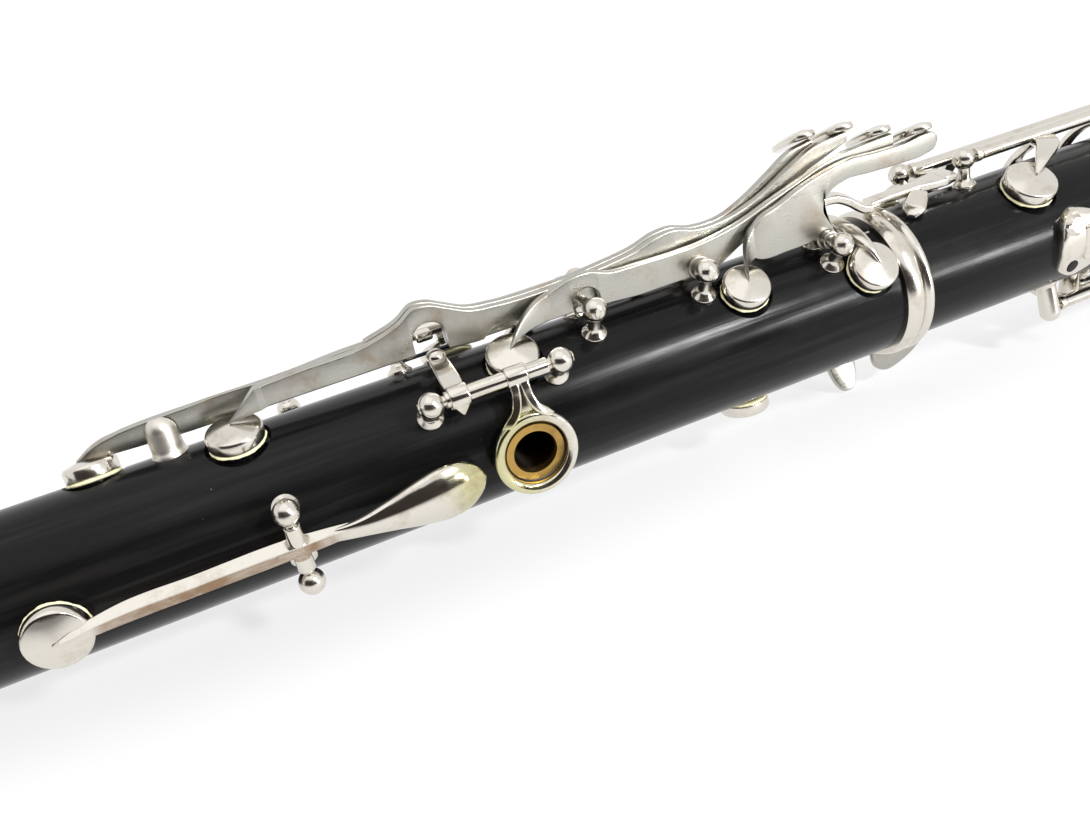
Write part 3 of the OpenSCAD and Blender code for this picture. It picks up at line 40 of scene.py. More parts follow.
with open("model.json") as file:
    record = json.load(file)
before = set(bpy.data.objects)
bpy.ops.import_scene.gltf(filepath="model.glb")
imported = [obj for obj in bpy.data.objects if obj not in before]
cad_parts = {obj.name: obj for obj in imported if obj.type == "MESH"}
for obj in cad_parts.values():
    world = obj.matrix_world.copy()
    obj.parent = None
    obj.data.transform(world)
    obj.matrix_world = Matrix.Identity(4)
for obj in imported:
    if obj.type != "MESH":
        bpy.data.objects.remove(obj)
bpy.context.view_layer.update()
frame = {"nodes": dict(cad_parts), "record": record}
MM = 0.001


def length(label, text, value):
    """Length property, given in millimetres."""
    limits = {"default": value * MM, "min": 0.0, "precision": 5}
    return FloatProperty(name=label, description=text, unit="LENGTH", **limits)


def colour(label, text, value):
    """Linear colour property."""
    limits = {"default": value, "size": 3, "min": 0.0, "max": 1.0}
    return FloatVectorProperty(name=label, description=text, subtype="COLOR", **limits)


class ClarinetSizes(bpy.types.PropertyGroup):
    """Sizes of the rounded keywork."""

    ball: length("Ball", "Radius of the posts' balls", 2.2)
    foot: length("Foot", "Radius of the posts' feet", 2.3)
    tube: length("Tube", "Radius of the hinge tubes", 1.4)
    plate: length("Plate", "Thickness of the side keys' plates", 1.6)
    edge: length("Edge", "Corner radius of the plates", 0.3)


class ClarinetColours(bpy.types.PropertyGroup):
    """Colours of the finishes, and the light level of the stage."""

    wood: colour("Wood", "Dark wood of the joints", (0.0045, 0.0045, 0.005))
    vein: colour("Vein", "Lighter veins of the wood", (0.011, 0.0105, 0.0100))
    dust: colour("Dust", "Specks on the wood", (0.5, 0.5, 0.5))
    plating: colour("Plating", "Plated keywork", (0.70, 0.665, 0.595))
    # Darker plating: unpolished on the side keys' plates, and painted shade on the C sharp / G sharp touch
    # and the E / B lever's wing, which lie in shadow
    dull: colour("Dull plating", "Unpolished plates of the side keys", (0.45, 0.44, 0.395))
    # Brown film on the plating, and painted shade along the register bar's lower side
    tarnish: colour("Tarnish", "Brown film on the plating", (0.30, 0.20, 0.125))
    handled: colour("Handled", "Yellow film where the thumb rests", (0.60, 0.57, 0.32))
    skin: colour("Pad skin", "Skin of the pads", (0.74, 0.66, 0.42))
    stain: colour("Stain", "Stains on the pads", (0.48, 0.35, 0.14))
    brass: colour("Brass", "Thumb tube and register tube", (0.46, 0.29, 0.085))
    # Dulled patches of the brass, and painted shade down in the holes
    old_brass: colour("Old brass", "Dulled patches of the brass", (0.10, 0.06, 0.022))
    spring: colour("Spring", "Blued spring steel", (0.05, 0.06, 0.09))
    rubbed: colour("Rubbed spring", "Spring steel where it is rubbed", (0.22, 0.17, 0.10))
    cork: colour("Cork", "Tenon corks", (0.42, 0.25, 0.12))
    crack: colour("Crack", "Cracks between the crumbs of the corks", (0.13, 0.065, 0.03))
    cane: colour("Cane", "Reed", (0.66, 0.46, 0.20))
    fibre: colour("Fibre", "Fibres of the reed", (0.38, 0.22, 0.08))
    floor: colour("Floor", "White floor", (0.37, 0.37, 0.375))
    shade: colour("Shade", "Near end of the floor as the keys mirror it", (0.03, 0.022, 0.02))
    level: FloatProperty(name="Level", description="Strength of the light all around", default=1.0, min=0.0)


def size(name):
    """Size of the keywork in millimetres."""
    return getattr(bpy.context.scene.clarinet_sizes, name) / MM


def tint(name):
    """Colour of a finish with full alpha."""
    return (*getattr(bpy.context.scene.clarinet_colours, name), 1.0)


# Surfaces, in millimetres

# Points along each rounded corner, and how close two points count as one
CORNER_STEPS, SAME = 5, 1e-5

# Largest corner radius as a share of a section's half sizes, and the share of it by which the ends are eased
FULL_ROUND, END_EASE = 0.96, 0.6

# Radius at which a turned profile starts beside its axis, and a direction along which no axis lies
TIP, SKEW = 0.05, (0.31, 0.77, 0.56)

# Corner radius of the straps
STRAP_CORNER = 0.45

# Radius, half slot and height of the screw ends in the posts
SCREW_END = (0.95, 0.16, 0.2)


def spin(a):
    """Outward and crosswise directions at an angle in degrees around the bore."""
    a = np.radians(a)
    return (
        np.stack([0 * a, -np.cos(a), np.sin(a)], -1),
        np.stack([0 * a, np.sin(a), np.cos(a)], -1),
    )


def at(x, a, r):
    """Point at a place along the bore, an angle around it and a distance from its axis."""
    return [x, 0, 0] + spin(a)[0] * r


def polar(rows):
    """Points from rows of place along the bore, angle around it and distance from its axis."""
    rows = np.asarray(rows, float)
    return rows[:, :1] * [1, 0, 0] + spin(rows[:, 1])[0] * rows[:, 2:3]


def unit(v):
    """Vectors at unit length."""
    v = np.asarray(v, float)
    return v / np.linalg.norm(v, axis=-1, keepdims=True)


def soft(points, radius, loop=False):
    """Polyline whose corners become parabolas, each leaving and rejoining its lines at the given distance."""
    p = np.asarray(points, float)
    a, b = np.roll(p, 1, 0) - p, np.roll(p, -1, 0) - p
    if not loop:
        a[0] = b[-1] = 0
    la, lb = np.linalg.norm(a, axis=1), np.linalg.norm(b, axis=1)
    cut = np.minimum(radius, 0.49 * np.minimum(la, lb))
    a = p + a * (cut / np.maximum(la, SAME))[:, None]
    b = p + b * (cut / np.maximum(lb, SAME))[:, None]
    t = np.linspace(0, 1, CORNER_STEPS)[:, None, None]
    q = (1 - t) ** 2 * a + 2 * t * (1 - t) * p + t**2 * b
    q = q.transpose(1, 0, 2).reshape(-1, p.shape[1])
    return q[np.r_[True, np.linalg.norm(np.diff(q, axis=0), axis=1) > SAME]]


def spline(knots, count):
    """Smooth curve through knots: cubic Hermite pieces over chord length, slopes from the neighbours.
    Columns after the third ride along with the place."""
    k = np.asarray(knots, float)
    s = np.r_[0, np.cumsum(np.linalg.norm(np.diff(k[:, :3], axis=0), axis=1))]
    m = np.gradient(k, s, axis=0)
    u = np.linspace(0, s[-1], count)
    i = np.clip(np.searchsorted(s, u, side="right") - 1, 0, len(s) - 2)
    h = (s[i + 1] - s[i])[:, None]
    t = (u - s[i])[:, None] / h
    start = (2 * t**3 - 3 * t**2 + 1) * k[i] + (t**3 - 2 * t**2 + t) * h * m[i]
    return start + (3 * t**2 - 2 * t**3) * k[i + 1] + (t**3 - t**2) * h * m[i + 1]


def skin(grid, closed=False):
    """Shell over a grid of points whose rows each run once around.
    The first and last rows are shut with fans, or joined to each other.
    Faces are turned outwards by the sign of the shell's volume."""
    rows, cols = grid.shape[:2]
    ids = np.arange(rows * cols).reshape(rows, cols)
    high = np.roll(ids, -1, 0) if closed else ids[1:]
    low = ids if closed else ids[:-1]
    quads = np.stack([low, np.roll(low, -1, 1), np.roll(high, -1, 1), high], -1).reshape(-1, 4)
    points = grid.reshape(-1, 3)
    fans = np.zeros((0, 3), int)
    if not closed:
        points = np.vstack([points, grid[0].mean(0), grid[-1].mean(0)])
        tip = np.full(cols, rows * cols)
        fans = np.vstack([
            np.stack([np.roll(ids[0], -1), ids[0], tip], -1),
            np.stack([ids[-1], np.roll(ids[-1], -1), tip + 1], -1),
        ])
    triangles = np.vstack([quads[:, :3], quads[:, [0, 2, 3]], fans])
    p = points[triangles] - points.mean(0)
    if np.einsum("ij,ij->", p[:, 0], np.cross(p[:, 1], p[:, 2])) < 0:
        quads, fans = quads[:, ::-1], fans[:, ::-1]
    return points, (quads, fans)


def turned(profile, origin, axis, count, closed=False, wave=None):
    """Turned shell: a profile of radius and height carried once around an axis, its radius times a wave."""
    p = np.asarray(profile, float)
    axis = unit(axis)
    u = unit(np.cross(axis, SKEW))
    v = np.cross(axis, u)
    t = np.linspace(0, 2 * np.pi, count, endpoint=False)
    r = p[:, 0, None] * (1 if wave is None else wave(t))
    ring = np.cos(t)[:, None] * u + np.sin(t)[:, None] * v
    return skin(np.asarray(origin, float) + r[..., None] * ring + p[:, 1, None, None] * axis, closed)


def sections(p, side, up, a, b, r, crown=0.0, power=2):
    """Shell of rounded-rectangle sections along stations: half width a, half height b, corner radius r.
    The crown lifts the middle of the upper side as a parabola, or as a ridge at power one.
    Both ends are eased by one smaller section."""
    a, b, r, crown = (np.broadcast_to(np.asarray(v, float), len(p))[:, None] for v in (a, b, r, crown))
    r = np.minimum(r, FULL_ROUND * np.minimum(a, b))
    ease = END_EASE * r[[0, -1]]
    way = unit(p[[0, -1]] - p[[1, -2]])
    p = np.vstack([p[:1] + way[:1] * ease[0], p, p[-1:] + way[1:] * ease[1]])
    side, up = (np.broadcast_to(np.asarray(v, float), (len(a), 3)) for v in (side, up))
    side, up, r, crown = (np.vstack([v[:1], v, v[-1:]]) for v in (side, up, r, crown))
    a, b = (np.vstack([v[:1] - ease[0], v, v[-1:] - ease[1]]) for v in (a, b))
    r = np.minimum(r, FULL_ROUND * np.minimum(a, b))
    f = np.linspace(0, np.pi / 2, CORNER_STEPS)
    f = np.concatenate([f, f + np.pi / 2, f + np.pi, f + 1.5 * np.pi])
    u = np.repeat([1, -1, -1, 1], CORNER_STEPS) * (a - r) + r * np.cos(f)
    v = np.repeat([1, 1, -1, -1], CORNER_STEPS) * (b - r) + r * np.sin(f)
    if crown.any():
        row = (a - r) * np.linspace(1, -1, 9)[1:-1]
        u = np.hstack([u[:, :CORNER_STEPS], row, u[:, CORNER_STEPS:]])
        v = np.hstack([v[:, :CORNER_STEPS], b + 0 * row, v[:, CORNER_STEPS:]])
        v = v + np.where(v > 0, crown * (1 - np.abs(u / a) ** power), 0)
    return skin(p[:, None] + u[..., None] * side[:, None] + v[..., None] * up[:, None])


def bar(knots, up, count, crown=0.0, power=2):
    """Bar along a smooth path, from knots of (x, y, z, half width, half height, corner radius).
    A list of crowns is spread evenly along the bar."""
    q = spline(knots, count)
    way = unit(np.gradient(q[:, :3], axis=0))
    side = unit(np.cross(way, np.broadcast_to(up, way.shape)))
    if np.ndim(crown):
        crown = np.interp(np.linspace(0, 1, count), np.linspace(0, 1, len(crown)), crown)
    return sections(q[:, :3], side, np.cross(side, way), *q[:, 3:].T, crown, power)


def bent(rows, count, facing=None, crown=0.0):
    """Bar given by rows of place, angle, distance, half width, half height and corner radius around the bore.
    Its upper side faces the given angle, or the mean angle of its rows."""
    rows = np.asarray(rows, float)
    up = spin(rows[:, 1].mean() if facing is None else facing)[0]
    return bar(np.hstack([polar(rows), rows[:, 3:]]), up, count, crown)


def hoop(x, rows, count, facing=None):
    """Bent bar that stays at one place along the bore."""
    return bent([[x, *row] for row in rows], count, facing)


def rail(x0, x1, a, r, section, count):
    """Straight bar along the bore with one section of half width, half height and corner radius."""
    return bent([[x, a, r, *section] for x in (x0, x1)], count)


def strap(x, w, a0, a1, r0, r1):
    """Band around the bore between two angles and two radii; a pair of widths makes it taper."""
    a = np.linspace(a0, a1, max(8, int(abs(a1 - a0) / 3)))
    out = spin(a)[0]
    half = np.linspace(*(np.broadcast_to(w, 2) / 2), len(a))
    middle = out * (r0 + r1) / 2 + [x, 0, 0]
    return sections(middle, [1.0, 0, 0], out, half, (r1 - r0) / 2, STRAP_CORNER)


def plate(low, top, back, thick, edge=None):
    """Upright plate between paired stations (along the bore, up) of its lower and upper edges.
    Its back is at one Y, and its thickness is one value or one for each station."""
    low, top = np.asarray(low, float), np.asarray(top, float)
    mid, rise = (low + top) / 2, (top - low) / 2
    half = np.linalg.norm(rise, axis=1)
    p = np.stack([mid[:, 0], back - thick / 2 + 0 * half, mid[:, 1]], -1)
    up = np.stack([rise[:, 0], 0 * half, rise[:, 1]], -1) / half[:, None]
    return sections(p, [0, 1.0, 0], up, thick / 2, half, edge or size("edge"))


def rod(start, end, radius, ease=0.25):
    """Round bar between two points, with eased ends."""
    start, end = np.asarray(start, float), np.asarray(end, float)
    far = np.linalg.norm(end - start)
    profile = soft([[TIP, 0], [radius, 0], [radius, far], [TIP, far]], ease)
    return turned(profile, start, end - start, 32)


def rod_x(x0, x1, a, r, radius, ease=0.25):
    """Round bar along the bore."""
    return rod(at(x0, a, r), at(x1, a, r), radius, ease)


def ball(centre, radius):
    """Sphere: a half circle carried around."""
    t = np.linspace(0.02, np.pi - 0.02, 25)
    return turned(np.stack([radius * np.sin(t), -radius * np.cos(t)], -1), centre, [0, 0.2, 1.0], 32)


def pillow(w, l, t, origin, u, v, crown=0.35):
    """Oval plate with eased edges and a crowned top: superellipse outlines inset and lifted row by row."""
    f = np.linspace(0, 2 * np.pi, 56, endpoint=False)
    c, s = (np.sign(k) * np.abs(k) ** 0.8 for k in (np.cos(f), np.sin(f)))
    inset = np.array([w / 2 - 0.1, 0.45, 0.12, 0.0, 0.0, 0.12, 0.5, 0.25 * w, 0.4 * w, w / 2 - 0.1])[:, None]
    lift = np.array([0, 0, 0.12, 0.4, t - 0.45, t - 0.12, t, t + 0.75 * crown, t + 0.95 * crown, t + crown])
    u, v = unit(u), unit(v)
    x, y = (w / 2 - inset) * c, (l / 2 - inset) * s
    rise = lift[:, None, None] * np.cross(u, v)
    return skin(np.asarray(origin, float) + x[..., None] * u + y[..., None] * v + rise)


def half_disc(centre, axis, along, radius, gap, thick):
    """Both halves of a slotted screw head: circle segments on each side of a slot along one direction."""
    axis, along = unit(axis), np.asarray(along, float)
    along = unit(along - axis * (along @ axis))
    cross = np.cross(axis, along)
    shells = []
    for side in (1, -1):
        rows = []
        for r, h in ((radius, -0.6), (radius, thick - 0.12), (radius - 0.12, thick)):
            s = np.arcsin(gap / r)
            t = np.linspace(s, np.pi - s, 15)[:, None]
            rows.append(centre + r * np.cos(t) * along + side * r * np.sin(t) * cross + h * axis)
        shells.append(skin(np.array(rows)))
    return shells


def swing(shell, a, r, degrees):
    """Shell turned about a rod that lies along the bore."""
    c = spin(a)[0] * r
    w = np.radians(degrees)
    m = np.array([[1, 0, 0], [0, np.cos(w), -np.sin(w)], [0, np.sin(w), np.cos(w)]])
    return (shell[0] - c) @ m.T + c, shell[1]


def second(shell):
    """Shell marked for the second material of its object."""
    return (*shell, 1)


def make(name, shells, materials, body, angle=40):
    """Object joined from shells, on a body and in the place of the CAD node whose name it carries.
    It is smooth but for edges sharper than an angle."""
    starts = np.cumsum([0] + [len(shell[0]) for shell in shells])
    blocks = [(block + n).tolist() for shell, n in zip(shells, starts) for block in shell[1]]
    mesh = bpy.data.meshes.new(name + "_dressed")
    mesh.from_pydata((np.vstack([shell[0] for shell in shells]) * MM).tolist(), [], sum(blocks, []))
    mesh.shade_smooth()
    mesh.set_sharp_from_angle(angle=np.radians(angle))
    for material in materials:
        mesh.materials.append(material)
    counts = [sum(len(block) for block in shell[1]) for shell in shells]
    marks = np.repeat([len(shell) - 2 for shell in shells], counts)
    mesh.polygons.foreach_set("material_index", marks.astype(np.int32))
    piece = bpy.data.objects.new(name + "_dressed", mesh)
    bpy.context.scene.collection.objects.link(piece)
    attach(piece, body)
    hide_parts(name)


# Keywork, in millimetres

# Radii of the joints and of the pad seats
UPPER, LOWER = 13.5, 13.2
UPPER_SEAT, LOWER_SEAT, REGISTER_SEAT = 13.0, 12.7, 15.0

# Distance of the rods from the bore's axis: on each joint, across the bore, and of the C sharp / G sharp key
UPPER_AXIS, LOWER_AXIS, CROSS_AXIS, SHORT_AXIS = 19.3, 18.8, 17.5, 18.0

# Places and heights of the side keys' axes, and where the backs of their plates stand
SIDE_A, SIDE_B, SIDE_C = -59.7, -37.7, -12
SIDE_Z, SIDE_CZ = 17.7, 15.7
SIDE_BACK = (1.4, -0.6, -3.0, -5.2)

# Place of the thumb ring key's arm, which passes under the side keys
THUMB_ARM = -87.6

# Angle and radius of the rods along the bore
RODS = {
    "thumb_ring": (45.5, UPPER_AXIS),
    "upper_ring_1": (115, UPPER_AXIS),
    "upper_ring_2": (115, UPPER_AXIS),
    "eflat_bflat": (235, UPPER_AXIS),
    "csharp_gsharp": (165, SHORT_AXIS),
    "lower_ring": (119, LOWER_AXIS),
    "b_fsharp": (93, LOWER_AXIS),
    "aflat_eflat": (98, LOWER_AXIS),
    "e_b": (88, LOWER_AXIS),
    "f_c": (112, LOWER_AXIS),
    "fsharp_csharp": (255, LOWER_AXIS),
    "f_c_lever": (270, LOWER_AXIS),
    "e_b_lever": (285, LOWER_AXIS),
}

# Place, angle and half span between posts of the rods across the bore
CROSS_RODS = {"register": (-119, 0, 6.75), "throat_a": (-113, 172, 5.2), "throat_gsharp": (-106, 206, 5.2)}

# Place, angle, diameter and seat radius of the cups
CUPS = {
    "register": (-156, 0, 10.4, REGISTER_SEAT),
    "throat_a": (-150, 172, 9.8, UPPER_SEAT),
    "throat_gsharp": (-135, 206, 9.8, UPPER_SEAT),
    "upper_ring_1": (-83, 136, 9.8, UPPER_SEAT),
    "upper_ring_2": (-33.5, 148, 9.8, UPPER_SEAT),
    "side_1": (-145.9, 111, 9.0, UPPER_SEAT),
    "side_2": (-122.6, 83, 9.6, UPPER_SEAT),
    "side_3": (-75.3, 66, 9.4, UPPER_SEAT),
    "side_4": (-30.5, 56.5, 9.0, UPPER_SEAT),
    "csharp_gsharp": (-5.6, 39, 9.3, UPPER_SEAT),
    "eflat_bflat": (-30, 277, 9.8, UPPER_SEAT),
    "lower_ring": (13.5, 150, 11, LOWER_SEAT),
    "b_fsharp": (35, 60.5, 10.4, LOWER_SEAT),
    "aflat_eflat": (104, 66, 16.4, LOWER_SEAT),
    "f_c": (163, 180, 16.4, LOWER_SEAT),
    "e_b": (194, 180, 16.4, LOWER_SEAT),
    "fsharp_csharp": (141.5, 215, 16.4, LOWER_SEAT),
}

# Degrees from shut to rest of the keys that stand open
OPEN = {
    "thumb_ring": -5, "upper_ring_1": 4.5, "upper_ring_2": 4.5, "lower_ring": 4.5,
    "f_c": 7, "e_b": 6, "fsharp_csharp": -9,
}


def opened(key, shells):
    """Shells of a key, modelled shut, turned about its rod to where it rests."""
    return [swing(s, *RODS[key], OPEN[key]) for s in shells] if key in OPEN else shells


def cup(x, a, d, seat):
    """Pad cup: straight wall with an eased shoulder under a shallow cone."""
    r = d / 2
    wall = soft([[TIP, 2.5], [r - 0.5, 2.5], [r - 0.5, 0.8], [r - 0.1, 0.8], [r, 2.6]], 0.2)
    cone = soft([[r, 2.6], [r - 0.3, 3.15], [TIP, 4.1]], 0.3)[1:]
    return turned(np.vstack([wall, cone]), at(x, a, seat), spin(a)[0], 56)


def pad(x, a, d, seat):
    """Skin-covered pad: a bulging edge that waves in and out under the cup."""
    r = d / 2 - 0.05

    def wave(t):
        """Three sines of 5, 11 and 23 waves around, shifted by the pad's own place, angle and diameter."""
        return 1 + 0.012 * np.sin(5 * t + x) + 0.010 * np.sin(11 * t + a) + 0.006 * np.sin(23 * t + d)

    bulge = r + 0.02
    profile = [[TIP, 0.1], [r - 0.5, 0.1], [bulge, 0.3], [bulge, 0.62], [r - 0.6, 0.95], [TIP, 0.95]]
    return turned(soft(profile, 0.2), at(x, a, seat), spin(a)[0], 96, wave=wave)


def arm(key):
    """Cup on an arm that leaves its rod wide and runs out to a point on the cup's cone."""
    x, a, d, seat = CUPS[key]
    rod_a, r_axis = RODS[key]
    low = max(r_axis - 2.6, np.hypot(seat + 3.0, d / 2))
    tip = seat + 4.0
    turn = a + (rod_a - a) * np.array([1.0, 0.72, 0.4, 0.14, -0.03])
    high = [low + 0.8, low + 0.8, max(low + 0.6, tip + 0.2), tip + 0.35, tip - 0.05]
    half = [1.6, 1.6, 1.44, 0.88, 0.32]
    thick = [0.8, 0.8, 0.75, 0.6, 0.25]
    rows = [[*v, 0.4] for v in zip(turn, high, half, thick)]
    return [cup(x, a, d, seat), hoop(x, rows, 24, (a + rod_a) / 2)]


def ring(x, a, r_top, d, hole, t):
    """Finger ring with a rounded rim and a sloping inner edge."""
    r, h = d / 2, hole / 2
    rim = [[r - 0.3, 0], [r, 0.5 * t], [r - 0.25, t - 0.15], [r - 0.9, t + 0.05]]
    profile = soft([[h, 0], *rim, [h, t - 0.35]], 0.5, True)
    return turned(profile, at(x, a, r_top - t), spin(a)[0], 64, True)


def ring_arm(x, key, r_body):
    """Finger ring of a ring key and the arm that holds it."""
    rod_a, r_axis = RODS[key]
    low = r_body + 2.6
    rows = [[rod_a, r_axis - 0.4, 1.5, 0.9, 0.4], [rod_a + 8, low + 0.9, 1.4, 0.8, 0.4],
            [150, low + 0.8, 1.5, 0.8, 0.4], [158.5, low + 0.6, 2.6, 0.7, 0.4]]
    return [ring(x, 180, r_body + 2.3, 15, 11.4, 1.7), hoop(x, rows, 30)]


def tube(x0, x1, key):
    """Hinge tube with a collar turned at each end."""
    w, end, hole = size("tube"), x1 - x0, 0.95
    wide, slim = w + 0.12, w - 0.06
    left = np.array([[hole, 0], [wide, 0], [wide, 1.3], [slim, 1.5]])
    right = left[::-1] * [1, -1] + [0, end]
    return turned(soft(np.vstack([left, right]), 0.2), at(x0, *RODS[key]), [1, 0, 0], 32)


def touch(x, a, r, w, l, t=1.6, along=False):
    """Oval finger touch, long around the bore or along it."""
    cross = spin(a)[1]
    u, v = (cross, [-1.0, 0, 0]) if along else ([1.0, 0, 0], cross)
    return pillow(w, l, t, at(x, a, r), u, v)


def post(x, a, r_body, r_ball, way):
    """Post: rimmed foot, hollow flare, neck and ball, with a slotted screw end along the rod on each side."""
    radius, foot = size("ball"), size("foot")
    t = np.linspace(np.pi - 0.58, 0.02, 24)
    flare = [[TIP, -0.6], [foot, -0.6], [foot, 0.35], [foot - 0.25, 0.6], [1.35, 1.3], [1.15, 1.9]]
    flare = soft(flare, 0.35) + [0, r_body]
    round_end = np.stack([radius * np.sin(t), r_ball + radius * np.cos(t)], -1)
    shells = [turned(np.vstack([flare, round_end]), [x, 0, 0], spin(a)[0], 40)]
    slot = [0.45, 0.3, 0.9] if abs(way[1]) > 0.5 else [0, 0.5, 0.8]
    for axis in (np.asarray(way, float), -np.asarray(way, float)):
        shells += half_disc(at(x, a, r_ball) + (radius - 0.2) * axis, axis, slot, *SCREW_END)
    return shells


def pillar(x, a, r_body, r_axis):
    """Straight post with a round end, a foot rim and a slight taper."""
    t = np.linspace(np.pi / 2, 0.02, 12)
    foot, neck, radius, neck_end = 2.25, 1.95, 2.1, r_axis + 0.9
    stem = [[TIP, -0.6], [foot, -0.6], [foot, 0.3], [neck, 0.7], [radius, neck_end - r_body]]
    stem = soft(stem, 0.25) + [0, r_body]
    cap = np.stack([radius * np.sin(t), neck_end + radius * np.cos(t)], -1)
    return turned(np.vstack([stem, cap[1:]]), [x, 0, 0], spin(a)[0], 40)


def upper_posts():
    """Posts of the upper joint, by the rods that they hold."""
    places = {"thumb_ring": (-92.3, -69.4), "upper_ring_1": (-93, -56.4, -14), "eflat_bflat": (-55, -16),
              "csharp_gsharp": (-14.2, -2.6)}
    rows = [(x, *RODS[key], (1, 0, 0)) for key in places for x in places[key]]
    for x, a, half in CROSS_RODS.values():
        turn, r = np.degrees(np.arctan2(half, CROSS_AXIS)), np.hypot(half, CROSS_AXIS)
        rows += [(x, a + side * turn, r, tuple(spin(a)[1])) for side in (1, -1)]
    wide, narrow = (-7.7, 4.2), (-11.2, -2.7)
    for x, z, sides in ((SIDE_A, SIDE_Z, wide), (SIDE_B, SIDE_Z, wide), (SIDE_C, SIDE_CZ, narrow)):
        rows += [(x, np.degrees(np.arctan2(z, -y)), np.hypot(y, z), (0, 1, 0)) for y in sides]
    return [s for x, a, r, way in rows for s in post(x, a, UPPER, r, way)]


def lower_posts():
    """Posts of the lower joint, by the rods that they hold."""
    places = {"lower_ring": (17, 92), "b_fsharp": (26, 70.5), "aflat_eflat": (96, 112), "e_b": (117, 204),
              "f_c": (128, 174), "fsharp_csharp": (62.4, 97.5, 153), "f_c_lever": (124,),
              "e_b_lever": (152.5,)}
    rows = [(x, *RODS[key]) for key in places for x in places[key]]
    shells = [s for x, a, r in rows for s in post(x, a, LOWER, r, (1, 0, 0))]
    ends = ((54.6, "f_c_lever"), (44.2, "e_b_lever"))
    return shells + [pillar(x, RODS[key][0], LOWER, LOWER_AXIS) for x, key in ends]


def register_key():
    """Register key: cup, ridged bar that ends in a point over the cup, cross tube and crowned tongue."""
    stem = [[-156.6, -19.05, 0, 0.2, 0.2, 0.1], [-154.8, -18.95, 0, 0.75, 0.3, 0.1],
            [-151.5, -18.0, 0, 1.25, 0.6, 0.15], [-147, -17.1, 0, 1.6, 0.9, 0.15],
            [-135, -16.95, 0, 1.65, 0.9, 0.15], [-119, -16.95, 0, 1.65, 0.9, 0.15],
            [-114, -17.3, 0, 1.4, 0.8, 0.2], [-109, -18.15, 0.4, 0.9, 0.45, 0.2],
            [-104, -18.6, 0.9, 0.25, 0.2, 0.1]]
    ridge = [0.2, 0.95, 1.15, 1.25, *[1.3] * 6, 1.1, 0.6, 0.2, 0.0]
    leaf = [[-116, -17.0, 0, 1.0, 0.7, 0.3], [-109, -18.05, 0, 1.6, 0.85, 0.35],
            [-104, -18.1, 0, 2.7, 0.7, 0.35], [-98, -17.9, 0, 4.2, 0.62, 0.35],
            [-94, -17.6, 0, 4.75, 0.6, 0.35], [-91.3, -17.3, 0, 4.4, 0.55, 0.35],
            [-89.5, -17.0, 0, 3.55, 0.5, 0.35], [-88.3, -16.8, 0, 2.5, 0.45, 0.3],
            [-87.6, -16.65, 0, 1.4, 0.4, 0.25], [-87.35, -16.6, 0, 0.5, 0.3, 0.15]]
    crown = [0.0, 0.1, 0.4, 0.9, 1.35, 1.7, 1.85, 1.6, 0.5]
    axis = np.array([CROSS_RODS["register"][0], -CROSS_AXIS, 0])
    half = np.array([0, 0, 4.3])
    return [cup(*CUPS["register"]), bar(stem, [0, -0.906, 0.423], 66, ridge, 1),
            bar(leaf, [0, -1.0, 0], 80, crown), rod(axis - half, axis + half, size("tube") + 0.05)]


def thumb_ring_key():
    """Thumb ring key: tube, ring on two curved prongs with a web, and the arm with its knob."""
    x, rod_place = -77.6, RODS["thumb_ring"]
    shells = [rod_x(-89.9, -71.8, *rod_place, size("tube")), ring(x, 0, 15.7, 15.2, 11.1, 2.0)]
    prong = [[0.85, 47, 20.1, 0.8, 0.9, 0.4], [0.9, 41, 19.1, 0.8, 0.85, 0.4],
             [1.1, 35, 18.0, 0.8, 0.8, 0.4], [1.9, 28, 17.1, 0.8, 0.75, 0.4],
             [3.3, 23.5, 16.4, 0.8, 0.7, 0.4], [4.5, 20.8, 15.7, 0.5, 0.4, 0.3]]
    for side in (1, -1):
        shells.append(bent([[x + side * away, *row] for away, *row in prong], 32, 28))
    web = [[45, 18.6, 1.2, 0.6, 0.3], [37, 17.4, 1.3, 0.5, 0.3], [30, 16.4, 2.0, 0.5, 0.3],
           [25, 15.6, 3.4, 0.5, 0.3]]
    reach = [[48, 18.9, 1.55, 1.0, 0.35], [55, 18.3, 1.75, 0.9, 0.35], [66, 17.8, 1.7, 0.8, 0.35],
             [79, 17.6, 1.5, 0.75, 0.35]]
    heel = [[48, 19.2, 1.6, 1.5, 0.3], [42, 18.9, 1.5, 1.2, 0.3], [37, 18.2, 0.3, 0.4, 0.2]]
    shells += [
        hoop(x, web, 24, 32),
        rod_x(x - 1.9, x + 1.9, *rod_place, 1.85, 0.4),
        rod_x(THUMB_ARM - 1.7, THUMB_ARM + 1.7, *rod_place, 2.0, 0.4),
        hoop(THUMB_ARM, reach, 28, 62),
        hoop(THUMB_ARM, heel, 14, 44),
        ball(at(THUMB_ARM, 80, 17.7), 1.75),
    ]
    return opened("thumb_ring", shells)


# Upper edge that side keys 1 and 2 share, and the arches under them, each by its place, radius and height
BUMP = [[-91.9, 6.5], [-88.8, 8.3], [-86.2, 8], [-83.5, 6.7], [-79.7, 4.9], [-75.5, 4.3], [-66, 4],
        [-55, 4.7], [-47.5, 5.7], [-43.4, 6.9], [-40.3, 7.1], [-35.6, 5.9], [-29.6, 6]]
ARCHES = ((THUMB_ARM, 3.0, 2.2), (SIDE_B, 2.7, 0.4))


